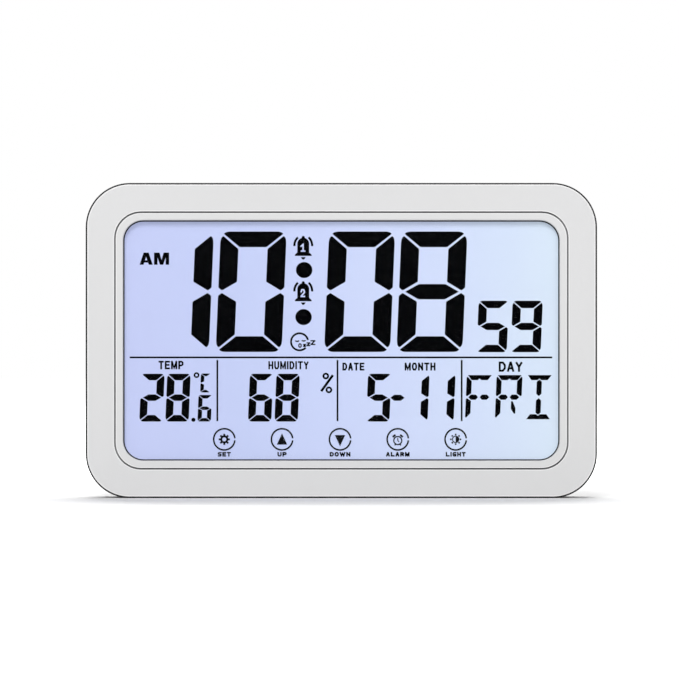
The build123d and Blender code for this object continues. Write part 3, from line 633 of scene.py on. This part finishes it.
def bar_corners(width, height, upright, level):
    """Corners of the seven bars of a figure that stands upright on its own corner."""
    middle = height / 2
    side = [(x * upright, height - z * level) for x, z in side_top_shares]
    side += [(x * upright, middle + z * level) for x, z in side_foot_shares]
    top = [(x * upright, height - z * level) for x, z in top_end_shares]
    top += [(width - x, z) for x, z in reversed(top)]
    centre = [(x * upright, middle + z * level) for x, z in centre_end_shares]
    centre += [(width - x, z) for x, z in reversed(centre)]
    lower_side = [(x, height - z) for x, z in side]
    return {
        "a": top,
        "b": [(width - x, z) for x, z in side],
        "c": [(width - x, z) for x, z in lower_side],
        "d": [(x, height - z) for x, z in top],
        "e": lower_side,
        "f": side,
        "g": centre,
    }


def lean_bar(marks, corners, left, foot, height, rounding):
    """Adds one bar, leaned about the middle of its figure and rounded at its corners."""
    leant = [(left + x + lean * (z - height / 2), foot + z) for x, z in corners]
    face = patch_face(marks, leant)
    bmesh.ops.bevel(
        marks,
        geom=face.verts[:],
        offset=rounding,
        offset_type="OFFSET",
        affect="VERTICES",
        segments=3,
        profile=0.5,
        material=-1,
    )


# Liquid crystal between crossed films: dead black seen from the front.
crystal_black = finish(
    "crystal_black", "010102", "030304", patch=4.0, grain=0.3, rough=0.7, relief=0.001, level=0.0
)
bar_face = face_low.y + bar_front * MM

for name, group in (
    ("time_figures", time_group),
    ("second_figures", second_group),
    ("row_figures", row_group),
    ("tenth_figure", tenth_group),
    ("unit_figure", unit_group),
):
    foot, width, height, upright, level, places = group
    bars = bar_corners(width, height, upright, level)
    marks = bmesh.new()
    for figure, left in places:
        for bar in figures[figure]:
            lean_bar(marks, bars[bar], left, foot, height, bar_round_share * upright)
    lay_print(name, marks, bar_face, bar_depth, crystal_black)


# Day letters
# The weekday at the lower right, made of bars with split middles so that letters can be shown.
# Same liquid crystal as the figures, with thinner bars and a nick in the middle of the top and bottom bars.
day_width = 8.35
day_height = 14.25
day_foot = -25.58
day_round = 0.05
day_places = (("F", 40.35), ("R", 50.0), ("I", 59.68))
day_letters = {
    "F": ("top", "left_up", "left_down", "middle_left", "middle_right"),
    "R": ("top", "left_up", "left_down", "right_up", "middle_left", "middle_right", "leg"),
    "I": ("top", "post_up", "post_down", "bottom"),
}
# Corners of the bars in mm, across from the left side and up from the foot of a letter that stands upright.
top_bar = (
    (0.4, 14.25),
    (8.05, 14.25),
    (6.85, 12.63),
    (4.725, 12.63),
    (4.175, 13.18),
    (3.625, 12.63),
    (1.6, 12.63),
)
left_bar = ((0.33, 13.75), (1.68, 12.27), (1.68, 8.345), (0.36, 7.425), (0.0, 7.725), (0.0, 13.45))
half_bar = ((0.78, 7.125), (1.6, 7.955), (3.2, 7.955), (3.9, 7.125), (3.2, 6.295), (1.6, 6.295))
post_bar = ((4.175, 12.8), (5.005, 12.1), (5.005, 8.225), (4.175, 7.445), (3.345, 8.225), (3.345, 12.1))
leg_bar = ((5.0, 5.8), (5.52, 5.8), (6.5, 3.6), (6.5, 1.85), (6.1, 1.75), (5.0, 3.35))


def across_middle(corners):
    """The same bar on the other side of the letter."""
    return tuple((day_width - x, z) for x, z in corners)


def upside_down(corners):
    """The same bar in the lower half of the letter."""
    return tuple((x, day_height - z) for x, z in corners)


day_bars = {
    "top": top_bar,
    "left_up": left_bar,
    "left_down": upside_down(left_bar),
    "right_up": across_middle(left_bar),
    "middle_left": half_bar,
    "middle_right": across_middle(half_bar),
    "post_up": post_bar,
    "post_down": upside_down(post_bar),
    "bottom": upside_down(top_bar),
    "leg": leg_bar,
}
marks = bmesh.new()
for letter, left in day_places:
    for bar in day_letters[letter]:
        lean_bar(marks, day_bars[bar], left, day_foot, day_height, day_round)
lay_print("day_letters", marks, bar_face, bar_depth, crystal_black)


# Display lines and words
# Fixed marks of the display: the ruled lines between its fields and the plain name of each field.
# They are etched into the same glass as the bars and are always on.
rule_height = -5.62
rule_ends = (-68.15, 68.24)
rule_line = 0.56
divider_places = (-39.87, -1.08, 39.0)
divider_ends = (-6.46, -26.18)
# The bold half-day mark: each letter's left side and width, then its bars in a box of one by one.
half_day_feet = (24.3, 28.2)
half_day_letters = (
    (
        -64.98,
        4.25,
        (
            ((0.0, 0.0), (0.3, 0.0), (0.61, 1.0), (0.31, 1.0)),
            ((1.0, 0.0), (0.7, 0.0), (0.39, 1.0), (0.69, 1.0)),
            ((0.2, 0.18), (0.8, 0.18), (0.8, 0.37), (0.2, 0.37)),
        ),
    ),
    (
        -60.3,
        4.85,
        (
            ((0.0, 0.0), (0.23, 0.0), (0.23, 1.0), (0.0, 1.0)),
            ((1.0, 0.0), (0.77, 0.0), (0.77, 1.0), (1.0, 1.0)),
            ((0.12, 1.0), (0.36, 1.0), (0.59, 0.0), (0.39, 0.0)),
            ((0.88, 1.0), (0.64, 1.0), (0.41, 0.0), (0.61, 0.0)),
        ),
    ),
)
field_words = (
    ("TEMP", -58.85, -50.8, -9.45, -6.72, 0.57),
    ("HUMIDITY", -23.4, -10.4, -9.45, -6.85, 0.51),
    ("DATE", 0.5, 7.6, -9.85, -7.33, 0.54),
    ("MONTH", 20.6, 30.55, -9.85, -7.31, 0.55),
    ("DAY", 50.95, 58.65, -10.25, -6.97, 0.66),
)

rules = bmesh.new()
stroke(rules, (rule_ends[0], rule_height), (rule_ends[1], rule_height), rule_line)
for x in divider_places:
    stroke(rules, (x, divider_ends[0]), (x, divider_ends[1]), rule_line)
lay_print("field_rules", rules, bar_face, bar_depth, crystal_black)

words = bmesh.new()
for word, left, right, bottom, top, line in field_words:
    letters(words, word, left, right, bottom, top, line)
foot, head = half_day_feet
for left, width, shapes in half_day_letters:
    for shape in shapes:
        patch_face(words, [(left + u * width, foot + v * (head - foot)) for u, v in shape])
lay_print("field_words", words, bar_face, bar_depth, crystal_black)


# Display signs
# The small signs: colon, point, dash, degree and percent, two alarm bells and the snooze sign.
# Same glass and same black; the bells' numbers are left clear in them.
colon_places = ((-11.85, 22.59), (-12.04, 7.4))
colon_radius = 2.66
colon_height_share = 0.97
point_place = (-47.6, -25.76)
point_radius = 0.66
dash_middle = (18.28, -18.65)
dash_half = (2.3, 0.96)
dash_point = 1.25
degree_place = (-46.59, -11.34)
degree_radius = 0.66
degree_line = 0.54
percent_rings = ((-4.86, -11.64), (-3.86, -16.1))
percent_radius = 0.76
percent_line = 0.63
percent_slash = ((-2.57, -11.34), (-6.35, -16.55))
slash_line = 0.8
bell_x = -12.14
bell_feet = ((27.15, "1"), (12.51, "2"))
bell_outline = (
    (-2.7, 0.0),
    (-2.7, 0.38),
    (-1.92, 1.1),
    (-1.9, 4.1),
    (1.9, 4.1),
    (1.92, 1.1),
    (2.7, 0.38),
    (2.7, 0.0),
)
bell_dome = (3.92, 1.92)
bell_knob = (5.95, 0.5)
bell_sides = 28
clapper = ((-0.8, -0.4), (0.8, -0.4), (0.38, -1.03), (0.0, -1.22), (-0.38, -1.03))
sound_rise = 3.4
sound_offset = 0.61
sound_radius = 3.47
sound_line = 0.72
sound_starts = (-4.0, 132.0)
sound_sweep = 52.0
bell_number = (0.75, 1.32, 3.94)
number_shift = -0.16
number_lift = 0.005
number_line = 0.47
face_place = (-13.33, -0.58)
face_radius = 2.75
face_line = 0.62
face_gap = (12.0, 304.0)
eye_places = ((-14.1, 0.3), (-12.0, 0.42))
eye_radius = 0.75
eye_middle = -90.0
eye_sweep = 100.0
eye_line = 0.43
mouth_place = (-13.2, -1.79)
mouth_half = (0.56, 0.73)
mouth_line = 0.38
sleep_marks = ((-11.7, -1.75, 1.0), (-10.46, -1.36, 1.25), (-9.0, -0.84, 1.6))

signs = bmesh.new()
for centre in colon_places:
    dot(signs, centre, colon_radius, height_share=colon_height_share)
dot(signs, point_place, point_radius)
dash_x, dash_z = dash_middle
half_x, half_z = dash_half
patch_face(
    signs,
    (
        (dash_x - half_x, dash_z),
        (dash_x - half_x + dash_point, dash_z + half_z),
        (dash_x + half_x - dash_point, dash_z + half_z),
        (dash_x + half_x, dash_z),
        (dash_x + half_x - dash_point, dash_z - half_z),
        (dash_x - half_x + dash_point, dash_z - half_z),
    ),
)
arc_line(signs, degree_place, degree_radius, degree_line)
for centre in percent_rings:
    arc_line(signs, centre, percent_radius, percent_line)
stroke(signs, *percent_slash, slash_line)
lay_print("figure_signs", signs, bar_face, bar_depth, crystal_black)

bells = bmesh.new()
numbers = bmesh.new()
for foot, number in bell_feet:
    patch_face(bells, [(bell_x + x, foot + z) for x, z in bell_outline])
    for rise, radius in (bell_dome, bell_knob):
        dot(bells, (bell_x, foot + rise), radius, bell_sides)
    patch_face(bells, [(bell_x + x, foot + z) for x, z in clapper])
    for start, offset in zip(sound_starts, (-sound_offset, sound_offset)):
        arc_line(bells, (bell_x + offset, foot + sound_rise), sound_radius, sound_line, start, sound_sweep)
    half, bottom, top = bell_number
    number_x = bell_x + number_shift
    letters(numbers, number, number_x - half, number_x + half, foot + bottom, foot + top, number_line)
lay_print("alarm_bells", bells, bar_face, bar_depth, crystal_black)
lay_print("bell_numbers", numbers, bar_face - number_lift * MM, bar_depth, face_film)

snooze = bmesh.new()
arc_line(snooze, face_place, face_radius, face_line, *face_gap)
for centre in eye_places:
    arc_line(snooze, centre, eye_radius, eye_line, eye_middle - eye_sweep / 2, eye_sweep)
mouth_x, mouth_z = mouth_place
half_x, half_z = mouth_half
letters(snooze, "O", mouth_x - half_x, mouth_x + half_x, mouth_z - half_z, mouth_z + half_z, mouth_line)
for x, z, size in sleep_marks:
    letters(snooze, "Z", x - size / 2, x + size / 2, z - size / 2, z + size / 2, eye_line)
lay_print("snooze_sign", snooze, bar_face, bar_depth, crystal_black)


# Display glass and rear films
# The two float glass plates of the display with the rear polariser behind them.
# The front plate is taller, and its ledge carries the contact strip.
# Soda lime glass: clear, with the faint green that thicker float glass has.
cell_glass = clear_sheet("cell_glass", "F4FAF6", "F1F8F3", wave=40.0, index=1.52, gloss=0.01, relief=0.001)
dress(cell_glass, "lcd_front_glass", "lcd_rear_glass")
# Polarising film: smooth and grey blue.
rear_film = finish("rear_film", "9AA3B8", "8F98AE", patch=25.0, grain=0.8, rough=0.35, relief=0.001)
dress(rear_film, "lcd_rear_polariser")


# Backlight
# A diffuser sheet, an acrylic light guide and a white reflector, stacked in the holder behind the glass.
# Light enters the guide at its left edge from four lamps on a narrow board.
sheet_glow = 0.4
sheet_glow_tone = "DDE4FF"
# Matt polyester sheet: bright white, and lit by the guide behind it.
diffuser_sheet = finish(
    "diffuser_sheet", "F7F8FF", "F0F3FF", patch=30.0, grain=0.5, rough=0.75, relief=0.004
)
glow_sockets = diffuser_sheet.node_tree.nodes["Principled BSDF"].inputs
glow_sockets["Emission Color"].default_value = tone(sheet_glow_tone)
glow_sockets["Emission Strength"].default_value = sheet_glow
dress(diffuser_sheet, "diffuser_sheet")
# Injection moulded acrylic: water clear, polished faces.
guide_acrylic = clear_sheet(
    "guide_acrylic", "FAFDFF", "F8FBFE", wave=35.0, index=1.49, gloss=0.02, relief=0.001
)
dress(guide_acrylic, "light_guide")
# Foamed polyester film: very white, with a slight gloss.
reflector_film = finish(
    "reflector_film", "FBFBFA", "F4F4F2", patch=20.0, grain=0.6, rough=0.4, relief=0.002
)
dress(reflector_film, "reflector_sheet")
# Silicone with phosphor: dull yellow over the lamp chip.
lamp_phosphor = finish("lamp_phosphor", "F2DF6B", "E6CB45", patch=1.0, grain=0.2, rough=0.5, relief=0.004)
dress(lamp_phosphor, "backlight_leds")


# Display holder
# A white moulded tray that presses the backlight and the glass against the lens.
# Six small screws hold it to posts on the back of the frame.
# Moulded polystyrene: plain white, a little glossier than the case.
holder_styrene = finish(
    "holder_styrene", "F0F0EC", "E8E8E3", patch=40.0, grain=0.6, rough=0.4, relief=0.004
)
dress(holder_styrene, "display_holder")
# Zinc plated steel: pale grey, with fine turning marks that blur its reflections.
zinc_steel = finish(
    "zinc_steel", "C9CBCD", "B4B6B8", patch=1.5, grain=0.12, rough=0.32, relief=0.004, metal=1.0
)
dress(zinc_steel, "holder_screws", "board_screws", "case_screws", "stand_pin")


# Main board
# A single sided glass epoxy board under green solder mask, screwed to four posts of the rear cover.
# A rubber strip with carbon layers carries the display's signals. The board shows through the hanging slot.
track_pitch = 1.6
track_run = 21.0
track_width = 0.5
track_tone = "3F8049"
pad_pitch = 4.5
pad_width = 1.3
pad_tone = "B5B3A2"
track_cycle = 3
layer_pitch = 0.5
layer_cream = "C9BFA8"
wave_rate = 20.0


def masked_board(name, light, dark):
    """Solder mask over copper tracks, which show through as paler runs, with tinned pads between them."""
    material = finish(name, light, dark, patch=12.0, grain=0.4, rough=0.3, relief=0.004)
    tree = material.node_tree
    shader = tree.nodes["Principled BSDF"]
    mask = shader.inputs["Base Color"].links[0].from_socket
    place = put(tree, "TexCoord", {}, {}).outputs["Object"]
    flat = put(tree, "Mapping", {}, {"Vector": place, "Rotation": (math.pi / 2, 0.0, 0.0)}).outputs[0]
    runs = {
        "Vector": flat,
        "Scale": 1 / (track_pitch * MM),
        "Row Height": 1.0,
        "Brick Width": track_run / track_pitch,
        "Mortar Size": track_width / 2 / track_pitch,
    }
    tracks = put(tree, "TexBrick", {"offset_frequency": track_cycle}, runs)
    shown = {0: tracks.outputs["Fac"], 6: mask, 7: tone(track_tone)}
    copper = put(tree, "Mix", {"data_type": "RGBA"}, shown)
    spread = {"Vector": flat, "Scale": 1 / (pad_pitch * MM)}
    spots = put(tree, "TexVoronoi", {"voronoi_dimensions": "2D"}, spread)
    reach = pad_width / 2 / pad_pitch
    pads = put(tree, "Math", {"operation": "LESS_THAN"}, {0: spots.outputs["Distance"], 1: reach})
    bare = {0: pads.outputs[0], 6: copper.outputs[2], 7: tone(pad_tone)}
    tinned = put(tree, "Mix", {"data_type": "RGBA"}, bare)
    tree.links.new(tinned.outputs[2], shader.inputs["Base Color"])
    return material


# Solder mask: a glossy green lacquer.
board_mask = masked_board("board_mask", "2C6B38", "24592F")
dress(board_mask, "main_board", "backlight_board")
# Silicone rubber in thin black and cream layers, half a millimetre apart here so that they can be seen.
strip_rubber = finish("strip_rubber", "38352F", "2A2824", patch=4.0, grain=0.3, rough=0.7, relief=0.004)
tree = strip_rubber.node_tree
shader = tree.nodes["Principled BSDF"]
carbon = shader.inputs["Base Color"].links[0].from_socket
place = put(tree, "TexCoord", {}, {}).outputs["Object"]
# The wave texture's angle is its place times the scale and this rate, and each layer takes a full turn.
pitch = {"Vector": place, "Scale": math.tau / (wave_rate * layer_pitch * MM)}
layers = put(tree, "TexWave", {"wave_type": "BANDS"}, pitch)
stripe = put(tree, "Mix", {"data_type": "RGBA"}, {0: layers.outputs[1], 6: carbon, 7: tone(layer_cream)})
tree.links.new(stripe.outputs[2], shader.inputs["Base Color"])
dress(strip_rubber, "zebra_strip")


# Board parts
# The controller under its drop of resin, the touch chip, the crystal, a capacitor, the buzzer,
# the climate sensor and the socket of the touch film, all on the rear side of the main board.
# Potting resin: black and glossy, poured.
potting_resin = finish("potting_resin", "101012", "18181B", patch=3.0, grain=0.5, rough=0.18, relief=0.01)
dress(potting_resin, "controller_blob")
# Moulded epoxy: dull black with a fine filler.
chip_epoxy = finish("chip_epoxy", "1B1B1D", "242427", patch=2.0, grain=0.15, rough=0.6, relief=0.006)
dress(chip_epoxy, "touch_chip", "buzzer")
# Drawn tin plate: bright, with faint draw marks.
drawn_can = finish(
    "drawn_can", "D4D4D2", "BDBDBA", patch=2.0, grain=0.3, rough=0.28, relief=0.003, metal=1.0
)
dress(drawn_can, "crystal", "capacitor")
# Moulded nylon: cream and slightly waxy.
socket_nylon = finish("socket_nylon", "E8DFC6", "DDD2B5", patch=4.0, grain=0.3, rough=0.45, relief=0.004)
dress(socket_nylon, "climate_sensor", "touch_connector")


# Rear cover
# The rear half of the case in the same light grey ABS, a little rougher than the front.
# It carries the battery bay, the leg's recess, the hanging slot, the sound holes and the vents.
cover_light = "E4E4E4"
cover_dark = "CBCBCA"
cover_grain = 1.1
cover_relief = 0.16
cover_speck = 0.75
cover_gloss = 0.68
# Moulded ABS with a coarser sparked skin, as the unseen side of such a case has.
# The real pits are a quarter of a millimetre wide, and are drawn coarser here so that they show.
cover_abs = finish(
    "cover_abs",
    cover_light,
    cover_dark,
    patch=frame_patch,
    grain=cover_grain,
    rough=cover_gloss,
    relief=cover_relief,
    level=frame_shine,
    speck=cover_speck,
)
dress(cover_abs, "rear_cover", "battery_door", "stand_leg")


# Battery contacts and leads
# Plates pressed from nickel plated spring strip, coil springs of the same wire, and two soldered leads.
# The plates slide into grooves in the end walls of the bay.
# Nickel plate: warm grey metal, bright but not mirror smooth.
nickel_plate = finish(
    "nickel_plate", "CFCBC2", "BDB8AE", patch=3.0, grain=0.2, rough=0.26, relief=0.003, metal=1.0
)
dress(nickel_plate, "positive_contact", "negative_contact", "bridge_left", "bridge_right")
dress(nickel_plate, "battery_springs")
# Extruded PVC: soft gloss in one colour for each pole.
red_sleeve = finish("red_sleeve", "B3201F", "9E1A1A", patch=5.0, grain=0.4, rough=0.4, relief=0.003)
dress(red_sleeve, "positive_lead")
black_sleeve = finish("black_sleeve", "1A1A1B", "232324", patch=5.0, grain=0.4, rough=0.4, relief=0.003)
dress(black_sleeve, "negative_lead")


# Battery cells
# Three dry cells of the small round size, laid in turn with their caps left and right.
# Each is a steel can in a plain shrunk sleeve with a pale band at its cap end.
sleeve_light = "2F5D66"
sleeve_dark = "264D55"
sleeve_band = "C8CDCB"
can_steel = "C6C6C4"
cap_steel = 1.5
foot_steel = 0.5
band_width = 9.0
turned_cell = 2


def shrunk_sleeve(name, low, high, cap_left):
    """A plain sleeve over a steel can, with bare steel at both ends."""
    material = finish(name, sleeve_light, sleeve_dark, patch=10.0, grain=0.5, rough=0.3, relief=0.003)
    tree = material.node_tree
    shader = tree.nodes["Principled BSDF"]
    sleeve = shader.inputs["Base Color"].links[0].from_socket
    place = put(tree, "TexCoord", {}, {}).outputs["Object"]
    split = put(tree, "SeparateXYZ", {}, {0: place})
    ends = (low, high) if cap_left else (high, low)
    along = put(tree, "MapRange", {}, {0: split.outputs[0], 1: ends[0], 2: ends[1]})
    length = (high - low) / MM
    banded = put(tree, "Math", {"operation": "LESS_THAN"}, {0: along.outputs[0], 1: band_width / length})
    cap = put(tree, "Math", {"operation": "LESS_THAN"}, {0: along.outputs[0], 1: cap_steel / length})
    foot_start = 1 - foot_steel / length
    foot = put(tree, "Math", {"operation": "GREATER_THAN"}, {0: along.outputs[0], 1: foot_start})
    bare = put(tree, "Math", {"operation": "MAXIMUM"}, {0: cap.outputs[0], 1: foot.outputs[0]})
    band = put(tree, "Mix", {"data_type": "RGBA"}, {0: banded.outputs[0], 6: sleeve, 7: tone(sleeve_band)})
    shown = {0: bare.outputs[0], 6: band.outputs[2], 7: tone(can_steel)}
    can = put(tree, "Mix", {"data_type": "RGBA"}, shown)
    tree.links.new(can.outputs[2], shader.inputs["Base Color"])
    tree.links.new(bare.outputs[0], shader.inputs["Metallic"])
    return material


for number in (1, 2, 3):
    node = f"battery_cell_{number}"
    low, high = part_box(node)
    dress(shrunk_sleeve(f"cell_sleeve_{number}", low.x, high.x, number != turned_cell), node)


# Studio
# A plain white floor with soft lamps before and behind the clock, and a long lens straight in front of it.
# The room is white where the eye, gloss and glass look into it, and gives only a dim even light of its own.
# The floor, its fade, the lamps and the camera's distance are in metres, and the rest in mm.
floor_radius = 6.0
floor_sides = 96
room_tone = "FFFFFF"
paper_tone = "FAFAFA"
floor_tone = "B8B8B8"
floor_glow = 0.03
near_floor = 0.085
far_floor = 0.3
room_light = 0.15
first_bounce = 0.5
picture_width = 219.0
camera_offset = Vector((-0.6, 0.0, 51.17)) * MM
camera_distance = 2.0
sensor = 36.0
lamp_aim = Vector((0.0, 0.0, 50.0)) * MM
# Each lamp: name, turn from the front to the right, height angle, distance, side, and share of white given.
lamps = (
    ("key_lamp", -8.0, 27.0, 2.4, 0.8, 0.72),
    ("fill_lamp", 22.0, 8.0, 2.4, 0.8, 0.12),
    ("top_lamp", 172.0, 58.0, 2.2, 1.2, 0.48),
    ("rear_lamp", -176.0, 40.0, 2.4, 1.4, 0.4),
)

scene = bpy.context.scene
ground = bmesh.new()
bmesh.ops.create_circle(ground, cap_ends=True, segments=floor_sides, radius=floor_radius)
sheet = bpy.data.meshes.new("floor")
ground.to_mesh(sheet)
ground.free()
floor = bpy.data.objects.new("floor", sheet)
scene.collection.objects.link(floor)


def seen_directly(tree):
    """One where the eye, gloss or glass looks, and nought where a surface only gathers light."""
    path = put(tree, "LightPath", {}, {}).outputs
    rays = {0: path["Is Glossy Ray"], 1: path["Is Transmission Ray"]}
    mirrored = put(tree, "Math", {"operation": "MAXIMUM"}, rays)
    looked = put(tree, "Math", {"operation": "MAXIMUM"}, {0: path["Is Camera Ray"], 1: mirrored.outputs[0]})
    first = put(tree, "Math", {"operation": "LESS_THAN"}, {0: path["Diffuse Depth"], 1: first_bounce})
    both = put(tree, "Math", {"operation": "MULTIPLY"}, {0: looked.outputs[0], 1: first.outputs[0]})
    return both.outputs[0]


# Matt paper: white to the eye except in the clock's shadow, and pale grey in the light it throws back.
paper = bpy.data.materials.new("floor_paper")
paper.use_nodes = True
tree = paper.node_tree
tree.nodes.remove(tree.nodes["Principled BSDF"])
place = put(tree, "TexCoord", {}, {}).outputs["Object"]
away = put(tree, "VectorMath", {"operation": "LENGTH"}, {0: place}).outputs["Value"]
fading = put(tree, "MapRange", {}, {0: away, 1: near_floor, 2: far_floor, 3: floor_glow, 4: 1.0})
white = put(tree, "Emission", {}, {"Color": tone(room_tone), "Strength": fading.outputs[0]})
lit = put(tree, "BsdfDiffuse", {}, {"Color": tone(paper_tone)})
seen = put(tree, "AddShader", {}, {0: white.outputs[0], 1: lit.outputs[0]})
matt = put(tree, "BsdfDiffuse", {}, {"Color": tone(floor_tone)})
blend = put(tree, "MixShader", {}, {0: seen_directly(tree), 1: matt.outputs[0], 2: seen.outputs[0]})
tree.links.new(blend.outputs[0], tree.nodes["Material Output"].inputs["Surface"])
sheet.materials.append(paper)

room = bpy.data.worlds.new("room")
room.use_nodes = True
scene.world = room
tree = room.node_tree
back = tree.nodes["Background"]
back.inputs["Color"].default_value = tone(room_tone)
level = put(tree, "MapRange", {}, {0: seen_directly(tree), 3: room_light, 4: 1.0})
tree.links.new(level.outputs[0], back.inputs["Strength"])

# A lamp of this power lights a matt white card that faces it, at the clock, to its share of white.
for name, turn, rise, distance, side, share in lamps:
    light = bpy.data.lights.new(name, "AREA")
    light.size = side
    light.energy = share * math.pi**2 * distance**2
    lamp = bpy.data.objects.new(name, light)
    turn, rise = math.radians(turn), math.radians(rise)
    out = Vector((math.sin(turn) * math.cos(rise), -math.cos(turn) * math.cos(rise), math.sin(rise)))
    lamp.location = lamp_aim + out * distance
    lamp.rotation_euler = out.to_track_quat("Z", "Y").to_euler()
    scene.collection.objects.link(lamp)

view = bpy.data.cameras.new("front_view")
view.sensor_width = sensor
view.lens = sensor * camera_distance / (picture_width * MM)
camera = bpy.data.objects.new("front_view", view)
camera.location = camera_offset + Vector((0.0, cad_low.y - camera_distance, 0.0))
camera.rotation_euler = (math.pi / 2, 0.0, 0.0)
scene.collection.objects.link(camera)
scene.camera = camera
scene.view_settings.view_transform = "Standard"
